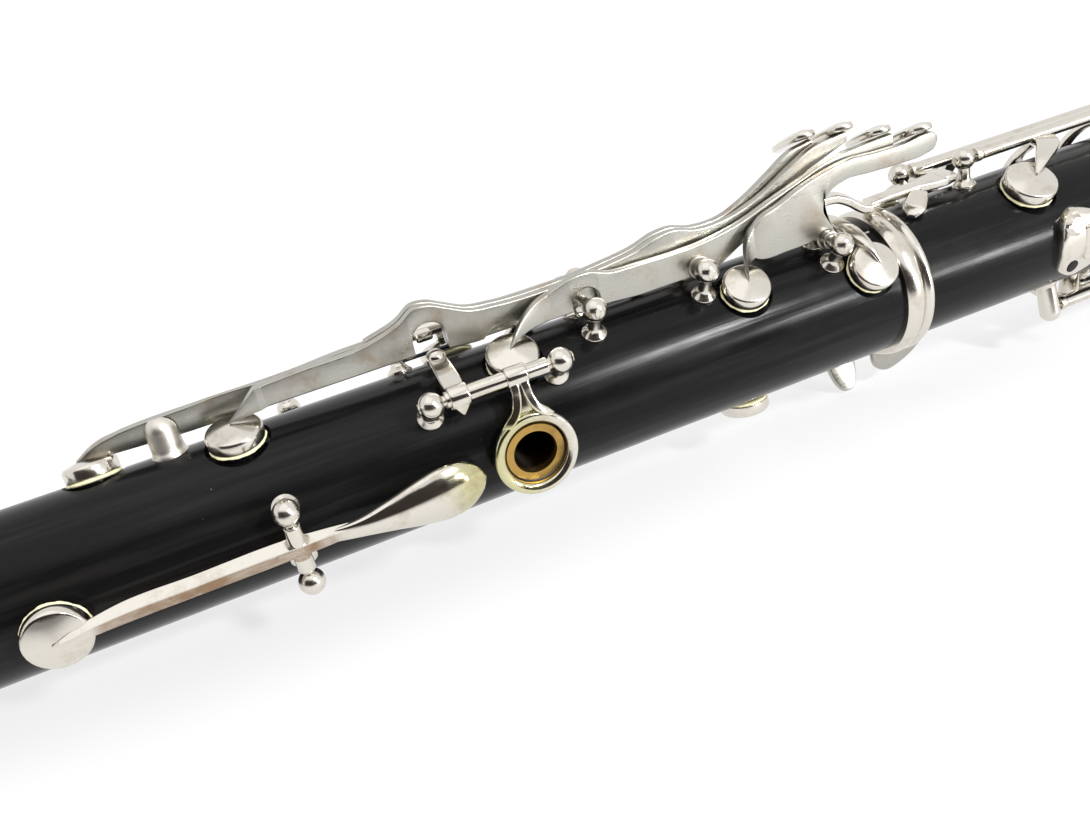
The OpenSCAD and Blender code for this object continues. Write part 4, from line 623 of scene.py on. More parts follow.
def edges(top, low, arches=()):
    """Paired stations of a side plate: spline along the top, lines along the foot, half circles as arches."""
    top, low = np.asarray(top, float), np.asarray(low, float)
    x = np.linspace(top[0, 0], top[-1, 0], 150)
    round_cut = np.cos(np.linspace(0, np.pi, 19))
    cuts = [np.r_[c - r - 0.03, c - r * round_cut, c + r + 0.03] for c, r, _ in arches]
    x = np.unique(np.concatenate([x, low[:, 0], *cuts]).round(4))
    line = spline(top, 400)
    high, foot = np.interp(x, line[:, 0], line[:, 1]), np.interp(x, low[:, 0], low[:, 1])
    for c, r, h in arches:
        inside = np.abs(x - c) <= r + 1e-3
        foot = np.where(inside, h + np.sqrt(np.maximum(r**2 - (x - c) ** 2, 0)), foot)
    return np.stack([x, foot + SIDE_Z], -1), np.stack([x, high + SIDE_Z], -1)


def taper(knots, y, corner, smooth=True):
    """Bar of upright sections along a smooth path or straight lines.
    Its knots are (x, y, z, half width, half height), counted from the given y and the side keys' axes."""
    k = np.asarray(knots, float) + [0, y, SIDE_Z, 0, 0]
    count = 8 * len(k)
    t = np.linspace(0, len(k) - 1, count)
    q = spline(k, count) if smooth else np.stack([np.interp(t, np.arange(len(k)), c) for c in k.T], -1)
    return sections(q[:, :3], [0, 1.0, 0], [0, 0, 1.0], q[:, 3], q[:, 4], corner)


def side_plate(number, top, low, arches):
    """Plate of a side key between its edges."""
    return plate(*edges(top, low, arches), SIDE_BACK[number - 1], size("plate"))


def side_ends(number, x, y, z):
    """Polished ends of a side key: its cup, and its touch at a point, tilted to the front."""
    tilt = np.radians(25)
    v = [0, np.cos(tilt), -np.sin(tilt)]
    oval = pillow(5.9, 11.2, 1.3, [x, y, z], [1.0, 0, 0], v, 0.5)
    return [second(cup(*CUPS[f"side_{number}"])), second(oval)]


def side_key_1():
    """Side key 1: plate with a hump, swung away at its left end, where it lies flat on its cup.
    The swung bar thins as a bell curve beside the cup of side key 2."""
    top = [[-98, 4.7], *BUMP, [-24.6, 7.9], [-19, 11], [-14.5, 13.6], [-9.5, 14.6]]
    low = [[-98, -0.5], [-90, -0.6], [-66, -1], [-33, -1], [-29, 2], [-22, 6.2], [-15, 11], [-9.5, 13.4]]
    shells = [side_plate(1, top, low, ARCHES)]
    low, top = edges([[-44, 0.7], [-42, 1.2], [-39.8, 1.5], [-28, 2.3], [-12, 3.2], [-5, 4], [1, 4.4]],
                     [[-44, -2.2], [-21, -2.2], [-19, -0.9], [1, -0.4]])
    thick = size("plate") - 0.75 * np.exp(-(((low[:, 0] + 24) / 6) ** 2))
    foot = [[-42, -0.8, -0.5, 0.79, 1.7], [-45, -0.8, -0.75, 0.95, 1.35], [-47.5, -0.9, -1.25, 0.95, 0.85],
            [-49.6, -1.0, -1.9, 0.4, 0.25]]
    w = np.radians(-6.2)
    m = np.array([[np.cos(w), -np.sin(w), 0], [np.sin(w), np.cos(w), 0], [0, 0, 1]])
    for points, faces in (plate(low, top, 0, thick), taper(foot, 0, 0.4)):
        shells.append((points @ m.T + [-98, SIDE_BACK[0], 0], faces))
    return shells + side_ends(1, -10.6, 4, 31)


def side_key_2():
    """Side key 2: plate with the same hump, its left end folded to a flat triangle with a point on the cup.
    A shallow arch beside the cup of side key 3 has a thin web behind it."""
    top = [[-116.6, 3.8], [-114, 4.0], [-109.7, 4.2], [-97.5, 4.8], *BUMP, [-22.7, 8], [-16.1, 11.3],
           [-11.2, 13.7], [-3.5, 14.8]]
    low = [[-116.6, 0], [-90, 0], [-80, -1.1], [-78.5, -1.1], [-77.2, 0.1], [-76.2, 0.5], [-74.4, 0.5],
           [-73.4, 0.1], [-72.1, -1.1], [-33, -1.1], [-29, 1.2], [-20, 5.5], [-12, 10], [-3.5, 13]]
    fold = [[-116.2, 0, 1.95, 0.79, 1.9], [-117.4, -0.05, 1.8, 0.9, 1.95], [-122.8, -0.75, -0.55, 0.12, 0.12]]
    web = [[[x, SIDE_Z + z] for x in (-79.2, -71.4)] for z in (-1.1, 1.2)]
    return [side_plate(2, top, low, ARCHES), plate(*web, SIDE_BACK[1] - 0.05, 0.65),
            taper(fold, SIDE_BACK[1] - size("plate") / 2, 0.12, False), *side_ends(2, -3.9, 1.8, 31)]


def side_key_3():
    """Side key 3: plate whose left end curls down to a point on its cup, boss and tube to the front post."""
    top = [[-66.5, 4.1], [-65, 4.6], [-62, 5.5], [-58.2, 5.6], [-54.6, 4.4], [-48.8, 4.1], [-34.7, 4.3],
           [-28.4, 5.4], [-21.9, 7.5], [-15.4, 9.5], [-8.9, 11.5], [-2.4, 12.2], [4.8, 12.6]]
    low = [[-66.5, -0.7], [-62, -0.7], [-54.6, -1.3], [-49.7, -1.7], [-34, -1.6], [-29.5, 0.8], [-24, 3.4],
           [-15, 6], [-8, 8.1], [-2, 8.7], [4.8, 8.8]]
    curl = [[-63.5, 0, 1.9, 0.7, 2.3], [-66.5, 0, 1.7, 0.8, 2.38], [-69.6, -0.4, 1.15, 0.8, 1.95],
            [-72.2, -1.3, 0.2, 0.7, 1.3], [-74.3, -2.4, -1.0, 0.5, 0.65], [-75.6, -3.2, -1.95, 0.15, 0.15]]
    y = SIDE_BACK[2] - size("plate") / 2
    return [side_plate(3, top, low, ((SIDE_A, 2.7, 0.3),)), taper(curl, y, 0.3), *side_ends(3, 2.7, -0.3, 29),
            rod([SIDE_B, -5.3, SIDE_Z], [SIDE_B, y, SIDE_Z], 2.2, 0.3)]


def side_key_4():
    """Side key 4: broad plate between two curved edges, its left end curled down to a point on its cup."""
    top = [[-28.2, 2.4], [-27.8, 3.2], [-27, 4.5], [-25.6, 5.7], [-21.3, 7.2], [-17, 8.9], [-10.6, 10.6],
           [-6.2, 11.2], [0.2, 10.9], [6, 10.9], [10.6, 11.4], [12.3, 11.3], [12.9, 10.6]]
    low = [[-28.0, -0.4], [-27, -1.3], [-20, -2], [-14, -1.6], [-10.5, -0.8], [-11.2, 0.6], [-12.5, 3.3],
           [-12.2, 5], [-10.8, 6.5], [-7.5, 7.7], [-2, 7.6], [4.6, 7.4], [10.6, 7.7], [12.4, 8.3],
           [12.9, 9.3]]
    low, top = (spline(line, 96) + [0, SIDE_Z] for line in (low, top))
    curl = [[-25.4, 0, 2.1, 0.7, 3.4], [-27.4, -0.05, 1.5, 0.8, 2.8], [-29.0, -0.7, 0.2, 0.8, 2.1],
            [-29.9, -1.8, -1.2, 0.7, 1.3], [-30.4, -3.0, -2.5, 0.5, 0.6], [-30.7, -3.8, -3.4, 0.15, 0.15]]
    y = SIDE_BACK[3] - size("plate") / 2
    tube_end = [[SIDE_C, -8.3, SIDE_CZ], [SIDE_C, y, SIDE_CZ]]
    boss = [[SIDE_C, y - 0.8, SIDE_CZ], [SIDE_C, y + 0.8, SIDE_CZ]]
    return [plate(low, top, SIDE_BACK[3], size("plate")), taper(curl, y, 0.3), *side_ends(4, 9.3, -3.4, 28.2),
            rod(*tube_end, 1.7, 0.3), rod(*boss, 2.1, 0.3)]


def csharp_gsharp_key():
    """C sharp / G sharp key: tube, crowned arm round the right side to its cup, arm and touch on the left."""
    x, touch_a = -6.4, 205
    rows = [[x, 168, 15.6, 1.3, 0.8, 0.35], [x, 140, 15.5, 1.3, 0.8, 0.35],
            [x, 110, 15.5, 1.35, 0.8, 0.35], [x, 80, 15.6, 1.5, 0.85, 0.35],
            [-6.3, 62, 16.4, 1.35, 0.85, 0.3], [-6.0, 50, 17.1, 0.9, 0.6, 0.25],
            [-5.6, 38, 17.0, 0.2, 0.25, 0.1]]
    cross = spin(touch_a)[1]
    oval = pillow(7.2, 25, 1.6, at(0.8, touch_a, 17.2) + cross * 9.4, [1.0, 0, 0], cross, 0.3)
    # The oval touch takes the darker plating as painted shade, as it lies in shadow
    return [rod_x(-11.8, -5.0, *RODS["csharp_gsharp"], size("tube")), bent(rows, 60, None, 0.3),
            strap(x, 2.5, 162, 207, 16.8, 18.4), strap(x, 2.3, 158, 171, 15.1, 17.9),
            cup(*CUPS["csharp_gsharp"]), rail(-7.2, 1.5, touch_a, 17.9, (2.4, 0.8, 0.35), 12), second(oval)]


def b_fsharp_key():
    """B / F sharp key: tube, broad triangular arm to a point on its cup, arm under the ring rod and touch."""
    rows = [[45.2, 92, 17.6, 2.6, 0.9, 0.35], [43.5, 82, 17.7, 2.3, 0.85, 0.35],
            [39.5, 71, 17.5, 1.4, 0.7, 0.3], [35.6, 60.8, 16.8, 0.3, 0.3, 0.15]]
    return [tube(28.4, 68.1, "b_fsharp"), bent(rows, 28, 74), cup(*CUPS["b_fsharp"]),
            strap(65.5, 3, 90, 168, 15.6, 17.0), strap(65.5, 2.4, 91.5, 94.5, 15.9, 18.4),
            touch(65.5, 172, 16.2, 4.4, 11)]


def upper_ring_key_1():
    """First upper ring key: tube, ring, vent cup and the link over the thumb key's knob."""
    key = "upper_ring_1"
    return opened(key, [tube(-90.6, -58.8, key), *ring_arm(-68, key, UPPER), *arm(key),
                        strap(THUMB_ARM, (3, 3.4), 99, 115, 18.3, 19.9)])


def upper_ring_key_2():
    """Second upper ring key: tube, ring, vent cup and the upper lever of the bridge, bent down at its end."""
    key = "upper_ring_2"
    bridge = [[-19.2, 0.2, 20.5, 1.5, 0.9, 0.5], [-14, 0.6, 20.7, 1.5, 0.85, 0.5],
              [-8, 0.6, 20.8, 1.5, 0.85, 0.5], [-4.8, 0.3, 20.5, 1.5, 0.85, 0.5],
              [-2.4, -0.2, 19.3, 1.5, 0.85, 0.5], [-0.6, -0.6, 17.9, 1.5, 0.85, 0.5],
              [0.9, -0.9, 17.1, 1.6, 0.9, 0.4], [1.9, -1.0, 16.9, 1.6, 1.0, 0.3]]
    return opened(key, [tube(-54, -16.4, key), *ring_arm(-45, key, UPPER), *arm(key),
                        strap(-18, 3, 94, 115, 19.5, 21.1), bar(bridge, [0, 0, 1.0], 40)])


def lower_ring_key():
    """Lower ring key: tube, three rings, lug, vent cup, and the lower lever of the bridge with its paddle."""
    key = "lower_ring"
    lug = [[13.5, 86, 16.6, 1.6, 0.7, 0.6], [11.5, 80, 16.0, 2.1, 0.7, 0.65], [9.8, 75, 15.5, 2.0, 0.65, 0.6],
           [8.8, 71.5, 15.1, 1.0, 0.45, 0.4]]
    bridge = [[2.8, 0.8, 16.9, 1.5, 0.7, 0.35], [8, 0.8, 17.0, 1.4, 0.8, 0.35],
              [13.5, 0.8, 17.0, 1.5, 0.8, 0.35], [17, 0.8, 17.0, 2.2, 0.8, 0.4],
              [21, 0.9, 17.0, 2.3, 0.8, 0.4], [23, 1.0, 17.0, 1.7, 0.6, 0.4]]
    cup_arm = [[21.5, 124, 17.4, 1.5, 0.8, 0.35], [18.5, 136, 17.2, 1.2, 0.7, 0.35],
               [13.5, 151, 16.7, 0.25, 0.25, 0.1]]
    rings = [s for x in (30, 53, 78) for s in ring_arm(x, key, LOWER)]
    return opened(key, [tube(19.4, 89.6, key), *rings, bent(lug, 16, 76), cup(*CUPS[key]),
                        strap(21, 3.2, 86, 127, 16.4, 18.1), bar(bridge, [0, 0, 1.0], 30), bent(cup_arm, 20)])


def throat_key(key, w):
    """Throat key with a touch of a given width: cup, straight bar over a cross tube and a long oval touch."""
    x, a = CUPS[key][:2]
    half = 2.8 * spin(a)[1]
    rows = [[x - 0.5, a, 17.0, 0.3, 0.3, 0.15], [x + 3, a, 17.4, 1.0, 0.7, 0.3],
            [x + 12, a, 17.6, 1.2, 0.85, 0.3], [-92, a, 17.6, 1.2, 0.85, 0.3]]
    axis = at(CROSS_RODS[key][0], a, CROSS_AXIS)
    return [cup(*CUPS[key]), bent(rows, 40), rod(axis - half, axis + half, size("tube")),
            touch(-88, a, 17.1, w, 15, 1.4, True)]


def throat_a_key():
    """Throat A key, with the wider touch."""
    return throat_key("throat_a", 8)


def throat_gsharp_key():
    """Throat G sharp key, with the narrower touch."""
    return throat_key("throat_gsharp", 6.4)


def eflat_bflat_key():
    """E flat / B flat key of the left hand: tube, cup arm, arm and touch between two finger holes."""
    key = "eflat_bflat"
    return [tube(-52.6, -18.4, key), *arm(key), strap(-33.5, 3, 203, 236, 16.7, 18.3),
            touch(-33.5, 196, 16.7, 4.4, 13)]


def aflat_eflat_key():
    """A flat / E flat key: short tube, large cup and little-finger touch."""
    key = "aflat_eflat"
    return [tube(98.4, 109.6, key), *arm(key), strap(104, 3, 97, 118, 17.8, 19.4),
            touch(104, 122, 18.2, 9, 11)]


def f_c_key():
    """F / C key: tube, large cup, and an arm with two bars, one of which carries its little-finger touch."""
    key = "f_c"
    return opened(key, [tube(130.4, 171.6, key), *arm(key), strap(132.2, 3, 111, 190, 17.8, 19.4),
                        rail(122.5, 133.2, 188.6, 18.5, (1.4, 0.65, 0.3), 10),
                        rail(119, 132.5, 148, 18.5, (1.7, 0.7, 0.3), 10), touch(119.5, 148, 18.4, 9, 9.6)])


def e_b_key():
    """E / B key: long tube, large cup, little-finger touch and the link that passes over the F / C key."""
    key = "e_b"
    return opened(key, [tube(119.4, 201.6, key), *arm(key), strap(121, 3, 87, 108, 17.8, 19.4),
                        touch(119, 112, 18.2, 9, 9.6), strap(149.6, 2.8, 86, 214, 21.8, 23.4),
                        strap(149.6, 2.8, 86, 90.5, 18.9, 22.2)])


def fsharp_csharp_key():
    """F sharp / C sharp key: tube, large cup and little-finger touch."""
    key = "fsharp_csharp"
    return opened(key, [tube(99.9, 150.6, key), *arm(key), strap(103, 3, 160, 258, 16.6, 18.2),
                        touch(104, 161, 17.4, 9, 11)])


def lever(x0, x1, key, arm_x, bar_a, bar_end, low):
    """Lever of the left little finger: tube, arm from it and a bar along the body."""
    return [tube(x0, x1, key), strap(arm_x, 2.4, bar_a, RODS[key][0], low, low + 1.6),
            rail(bar_end, arm_x + 0.8, bar_a, low + 0.75, (1.2, 0.7, 0.3), 12)]


def e_b_lever():
    """Left E / B lever with its hanging touch and its link."""
    wing = [[21.9, -15.9], [21.2, -18.2], [18, -21.6], [13.4, -24.2], [9.4, -24.9], [7.1, -23.5],
            [6.2, -20.4], [6.4, -17.6], [8, -15.9]]
    low, top = spline(wing, 40), np.linspace([21.9, -15.6], [8, -15.6], 40)
    # The wing takes the darker plating as painted shade, as it lies in shadow
    return [*lever(46.6, 150.1, "e_b_lever", 48.4, 250, 7, 17.2), second(plate(low, top, 6.8, 1.6, 0.6)),
            strap(146, 2.4, 226, 287, 21.8, 23.4), strap(146, 2.4, 283, 287, 18.9, 22.2)]


def fsharp_csharp_lever():
    """Left F sharp / C sharp lever, on the rod of the key that it works, with its touch and its link."""
    return [*lever(64.8, 95.1, "fsharp_csharp", 66.2, 218, 20, 17.6), touch(21, 213, 18.6, 6.4, 9),
            strap(92.6, 2.4, 236, 256, 19.0, 20.6)]


def f_c_lever():
    """Left F / C lever with its touch and its link."""
    return [*lever(57, 121.6, "f_c_lever", 58.6, 231, 9, 17.2), touch(9, 231, 18.2, 7, 8.4),
            strap(119.4, 2.4, 200, 272, 21.2, 22.8), strap(119.4, 2.4, 268, 272, 18.9, 21.6)]


def around(profile):
    """Closed profile of radius and place carried around the bore."""
    return turned(profile, [0, 0, 0], [1.0, 0, 0], 128, True)


def beads(x0, widths, r_in, r_out, lift):
    """Turned ring with beads of given widths side by side on its outside, each a stretch of an ellipse."""
    cut = 0.15 * np.pi
    t = np.linspace(cut, np.pi - cut, 13)
    w = np.asarray(widths)[:, None]
    x = x0 + np.cumsum(w)[:, None] - w / 2 - w / 2 * np.cos(t) / np.cos(cut)
    r = r_out + lift * (np.sin(t) - np.sin(cut)) + 0 * x
    outside = np.stack([r.ravel(), x.ravel()], -1)
    return around(np.vstack([[[r_in, x0]], outside, [[r_in, x0 + w.sum()]]]))


def joint_rings():
    """Rings of the middle joint, the bell's socket and the bell's rim."""
    socket = [[15.7, 226], [17.1, 226], [17.5, 227], [17.5, 230.5], [17.1, 231.5], [15.7, 231.5]]
    rim = [[38.4, 324], [39, 324.4], [39, 327], [38.4, 327]]
    bands = [around(soft(points, 0.35, True)) for points in (socket, rim)]
    return [beads(0, (3.9, 2.1), 12.2, 14.25, 1.2), *bands]


def lobe(x, a, r, height, chord, front):
    """Part of a stud on one side of a slot.
    At each height it is a segment of a circle of radius r, cut at a distance from the stud's axis."""
    out = spin(a)[0]
    front = unit(front - out * (front @ out))
    along = np.cross(out, front)
    s = np.arcsin(np.clip(chord / r, -0.99, 0.985))[:, None]
    t = (s + (np.pi - 2 * s) * np.linspace(0, 1, 25))[..., None]
    p = r[:, None, None] * (np.cos(t) * along + np.sin(t) * front)
    return skin(p + height[:, None, None] * out + [x, 0, 0])


def key_guide():
    """Guide of side key 1: a domed stud with a flared foot, in two lobes on each side of its slot.
    The slot leans, so its distance from the stud's axis grows with the height."""
    x, a, r, top = -133.4, 102.5, 2.7, 17.6
    foot = [[TIP, 12.8], [r + 0.35, 12.8], [r + 0.35, 13.5], [r, 14.2], [r, 14.9], [TIP, 14.9]]
    t = np.linspace(0, 0.44 * np.pi, 14)
    height = np.r_[np.linspace(14.7, top, 6)[:-1], top + r * np.sin(t)]
    radius = np.r_[np.full(5, r), r * np.cos(t)]
    place = 0.2151 * height - 5.21
    front = -np.array([0.108, 0.994, 0])
    shells = [second(turned(soft(foot, 0.3), [x, 0, 0], spin(a)[0], 48))]
    for way, chord in ((front, place + 1.95), (-front, 0.35 - place)):
        keep = radius > np.abs(chord) + 0.12
        shells.append(second(lobe(x, a, radius[keep], height[keep], chord[keep], way)))
    return shells


def thumb_rest():
    """Thumb rest: teardrop plate rolled around the joint with an eased rim, its hook, and a shallow
    wood-coloured disc where its empty screw hole is.
    Outlines shrink towards the middle row by row, each laid on a cylinder about the bore."""
    x, waist, middle = 36.5, 4.6, [9, 0]
    half = spline([[11, waist], [7.5, 6.4], [4.2, 7.1], [1.6, 5.6], [0.4, 3.0], [0, 0]], 36)
    half = np.vstack([[[25, waist], [18, waist]], half])
    line = np.vstack([half, half[-2::-1] * [1, -1]])
    shrink = np.array([0.99, 1.0, 0.985, 0.95, 0.8, 0.55, 0.3, 0.05])[:, None, None]
    r = np.array([13.15, 14.4, 14.75, 14.9, 14.93, 14.95, 14.97, 14.98])[:, None]
    along, across = np.moveaxis((line - middle) * shrink + middle, -1, 0)
    rolled = np.stack([x + along, -np.sqrt(r * r - across**2), across], -1)
    hook = [[42.5, -14.3, 0, 3.6, 0.8, 0.5], [50.5, -16.1, 0, 5.6, 1.0, 0.6], [56.5, -19.0, 0, 6.9, 1.0, 0.6],
            [59.6, -23.0, 0, 6.9, 1.0, 0.6], [60.6, -26.2, 0, 6.2, 0.8, 0.5]]
    hole = soft([[TIP, 14.6], [1.35, 14.6], [1.35, 15.02], [TIP, 15.04]], 0.05)
    hole = turned(hole, [x + 3.2, 0, 0], spin(-17)[0], 24)
    return [skin(rolled), bar(hook, [0, -1.0, 0.001], 32), second(hole)]


# Finishes

# Middle of the film that the thumb leaves on the register key, in metres
THUMB_SPOT = (-0.084, -0.0165, 0.001)


class Tree:
    """Shorthand for adding and linking nodes in one node tree."""

    def __init__(self, tree):
        self.tree = tree

    def feed(self, node, key, value):
        """Links a socket to an input, or sets its constant."""
        socket = node.inputs[key]
        if isinstance(value, bpy.types.NodeSocket):
            self.tree.links.new(value, socket)
        else:
            socket.default_value = value

    def add(self, kind, settings=(), **sockets):
        """Node of a kind with its settings, inputs by socket name."""
        node = self.tree.nodes.new(kind)
        for key, value in dict(settings).items():
            setattr(node, key, value)
        for key, value in sockets.items():
            self.feed(node, key.replace("_", " "), value)
        return node

    def math(self, operation, a, b, kind="ShaderNodeMath"):
        """Node of a two-input operation on values, or on vectors."""
        node = self.add(kind, {"operation": operation})
        self.feed(node, 0, a)
        self.feed(node, 1, b)
        return node

    def times(self, a, b):
        """Product of two values."""
        return self.math("MULTIPLY", a, b).outputs[0]

    def plus(self, a, b):
        """Sum of two values."""
        return self.math("ADD", a, b).outputs[0]

    def measure(self, operation, a, b):
        """Value that an operation finds between two vectors."""
        return self.math(operation, a, b, "ShaderNodeVectorMath").outputs["Value"]

    def span(self, value, low, high, to_low=0.0, to_high=1.0):
        """Value mapped from one range to another, smoothly and clamped."""
        node = self.add("ShaderNodeMapRange", {"interpolation_type": "SMOOTHSTEP"})
        for key, given in enumerate((value, low, high, to_low, to_high)):
            self.feed(node, key, given)
        return node.outputs[0]

    def mix(self, factor, a, b):
        """Colour mixed from a to b."""
        node = self.add("ShaderNodeMix", {"data_type": "RGBA"})
        for key, given in ((0, factor), (6, a), (7, b)):
            self.feed(node, key, given)
        return node.outputs[2]

    def noise(self, vector, scale, detail=4.0, rough=0.55):
        """Fractal noise value at a scale in cycles per metre."""
        sockets = {"Vector": vector, "Scale": scale, "Detail": detail, "Roughness": rough}
        return self.add("ShaderNodeTexNoise", **sockets).outputs[0]

    def drawn(self, vector, along):
        """Coordinates scaled along the bore, which draws patterns out lengthwise."""
        return self.add("ShaderNodeMapping", Vector=vector, Scale=(along, 1.0, 1.0)).outputs[0]

    def group(self, name, vector, amount=1.0):
        """Outputs of a shared effect at object coordinates, by amount."""
        tree = {"node_tree": bpy.data.node_groups[name]}
        return self.add("ShaderNodeGroup", tree, Vector=vector, Amount=amount).outputs


def new_group(name, outputs):
    """Empty shared effect: its tree, its coordinates and a function that puts out values times its amount."""
    group = bpy.data.node_groups.new(name, "ShaderNodeTree")
    group.interface.new_socket("Vector", in_out="INPUT", socket_type="NodeSocketVector")
    amount = group.interface.new_socket("Amount", in_out="INPUT", socket_type="NodeSocketFloat")
    amount.default_value = 1.0
    for label in outputs:
        group.interface.new_socket(label, in_out="OUTPUT", socket_type="NodeSocketFloat")
    t, start, end = Tree(group), group.nodes.new("NodeGroupInput"), group.nodes.new("NodeGroupOutput")

    def put_out(*values):
        """Feeds the outputs in order."""
        for key, value in enumerate(values):
            t.feed(end, key, t.times(value, start.outputs["Amount"]))

    return t, start.outputs["Vector"], put_out


def grain_group():
    """Grain: long veins along the bore, fine pores and their height."""
    t, vector, put_out = new_group("grain", ("Vein", "Height"))
    long = t.noise(t.drawn(vector, 0.05), 420.0, 5.0, 0.6)
    fine = t.noise(t.drawn(vector, 0.03), 2600.0, 3.0, 0.6)
    put_out(t.span(long, 0.44, 0.68), t.plus(t.times(long, 0.5), fine))


def wear_group():
    """Wear: cloudy film, small pits, brushed scratches and a roughness spread."""
    t, vector, put_out = new_group("wear", ("Film", "Rough", "Height"))
    cloud = t.noise(vector, 130.0, 6.0, 0.66)
    spots = t.noise(vector, 900.0, 4.0, 0.6)
    hairs = t.noise(t.drawn(vector, 0.10), 3200.0, 2.0, 0.5)
    film = t.plus(t.span(cloud, 0.50, 0.74, 0.0, 0.75), t.span(spots, 0.60, 0.76, 0.0, 0.35))
    rough = t.plus(t.times(cloud, 0.7), t.times(hairs, 0.5))
    put_out(film, rough, t.plus(t.times(hairs, 0.35), spots))


def dust_group():
    """Dust: sparse pale specks of uneven size."""
    t, vector, put_out = new_group("dust", ("Speck",))
    cells = t.add("ShaderNodeTexVoronoi", Vector=vector, Scale=420.0).outputs["Distance"]
    thin = t.span(t.noise(vector, 160.0, 3.0), 0.56, 0.70, 0.0, 0.055)
    put_out(t.math("LESS_THAN", cells, thin).outputs[0])


def new_material(name):
    """Material with its tree, its surface node and object coordinates."""
    material = bpy.data.materials.new(name)
    material.use_nodes = True
    t = Tree(material.node_tree)
    return material, t, t.tree.nodes["Principled BSDF"], t.add("ShaderNodeTexCoord").outputs["Object"]


def bump(t, shader, height, strength, distance):
    """Height fed to a surface's normal."""
    node = t.add("ShaderNodeBump", Strength=strength, Distance=distance, Height=height)
    t.feed(shader, "Normal", node.outputs[0])


def wood_finish(name="wood", rough=(0.14, 0.24), veins=1.0):
    """Satin dark wood or hard rubber: veins along the bore, fine pores, specks of dust."""
    material, t, shader, vector = new_material(name)
    vein, height = t.group("grain", vector, veins)
    speck = t.group("dust", vector, 0.35)[0]
    base = t.mix(vein, tint("wood"), tint("vein"))
    t.feed(shader, "Base Color", t.mix(speck, base, tint("dust")))
    t.feed(shader, "Roughness", t.span(t.noise(vector, 90.0, 5.0), 0.3, 0.7, *rough))
    t.feed(shader, "Specular IOR Level", 0.14)
    bump(t, shader, height, 0.10, 0.00012)
    return material


def plated_finish(name="plated", film=0.55, rough=(0.10, 0.24), relief=0.05, handled=0.0, metal="plating"):
    """Worn plating: brown film in clouds and pits, and brushed scratches.
    Where it is handled, a yellow film lies under the thumb, and brown lies along the bar's lower side as
    tarnish and painted shade."""
    material, t, shader, vector = new_material(name)
    cloud, spread, height = t.group("wear", vector)
    reach = t.measure("DISTANCE", vector, THUMB_SPOT)
    worn = t.times(t.span(reach, 0.006, 0.0135, handled, 0.0), t.span(spread, 0.2, 0.7, 0.6, 1.0))
    base = t.mix(worn, tint(metal), tint("handled"))
    x, _, z = t.add("ShaderNodeSeparateXYZ", Vector=vector).outputs
    # Painted shade with tarnish on the register bar's lower side: a mask along the bar and below its ridge,
    # in the handled finish only
    along = t.times(t.span(x, -0.118, -0.110, 1.0, 0.0), t.span(x, -0.1515, -0.149))
    side = t.times(t.span(z, 0.0006, 0.0009, handled, 0.0), t.span(z, -0.0019, -0.0016))
    under = t.times(t.times(along, side), t.span(spread, 0.25, 0.7, 0.25, 0.85))
    brown = t.plus(t.times(cloud, film), under)
    t.feed(shader, "Base Color", t.mix(brown, base, tint("tarnish")))
    t.feed(shader, "Metallic", 1.0)
    t.feed(shader, "Roughness", t.span(spread, 0.3, 0.85, *rough))
    bump(t, shader, height, relief, 0.00010)
    return material


def skin_finish():
    """Pad skin: pale yellow with stains and a puckered surface."""
    material, t, shader, vector = new_material("pad_skin")
    blot = t.span(t.noise(vector, 420.0, 5.0, 0.6), 0.48, 0.70, 0.0, 0.7)
    t.feed(shader, "Base Color", t.mix(blot, tint("skin"), tint("stain")))
    t.feed(shader, "Roughness", 0.5)
    bump(t, shader, t.noise(vector, 1500.0, 3.0), 0.25, 0.0002)
    return material


def brass_finish():
    """Bare brass, dulled in patches, with painted shade down in the holes."""
    material, t, shader, vector = new_material("bare_brass")
    film, spread, height = t.group("wear", vector)
    # Painted shade: the brass darkens towards the bore's axis, down in the holes
    depth = t.measure("DISTANCE", t.drawn(vector, 0.0), (0.0, 0.0, 0.0))
    dull = t.math("MAXIMUM", t.times(film, 0.8), t.span(depth, 0.0138, 0.0150, 1.0, 0.0)).outputs[0]
    t.feed(shader, "Base Color", t.mix(dull, tint("brass"), tint("old_brass")))
    t.feed(shader, "Metallic", 1.0)
    t.feed(shader, "Roughness", t.span(spread, 0.3, 0.8, 0.28, 0.46))
    bump(t, shader, height, 0.06, 0.0001)
    return material


def spring_finish():
    """Blued spring steel, paler where it is rubbed."""
    material, t, shader, vector = new_material("blued_steel")
    worn = t.span(t.noise(vector, 700.0), 0.45, 0.7)
    t.feed(shader, "Base Color", t.mix(worn, tint("spring"), tint("rubbed")))
    t.feed(shader, "Metallic", 1.0)
    t.feed(shader, "Roughness", t.span(worn, 0.0, 1.0, 0.28, 0.42))
    return material


def cork_finish():
    """Cork: crumbs between dark cracks."""
    material, t, shader, vector = new_material("cork_skin")
    cells = t.add("ShaderNodeTexVoronoi", {"feature": "DISTANCE_TO_EDGE"}, Vector=vector, Scale=900.0)
    edge = t.span(cells.outputs["Distance"], 0.0, 0.12)
    crumb = t.times(edge, t.span(t.noise(vector, 500.0), 0.3, 0.7, 0.6, 1.0))
    t.feed(shader, "Base Color", t.mix(crumb, tint("crack"), tint("cork")))
    t.feed(shader, "Roughness", 0.75)
    bump(t, shader, crumb, 0.3, 0.0003)
    return material


def cane_finish():
    """Cane: fibres along the reed over a pale ground."""
    material, t, shader, vector = new_material("cane_fibre")
    strands = t.noise(t.drawn(vector, 0.03), 1800.0, 4.0)
    t.feed(shader, "Base Color", t.mix(t.span(strands, 0.4, 0.65), tint("cane"), tint("fibre")))
    t.feed(shader, "Roughness", 0.5)
    bump(t, shader, strands, 0.15, 0.0002)
    return material


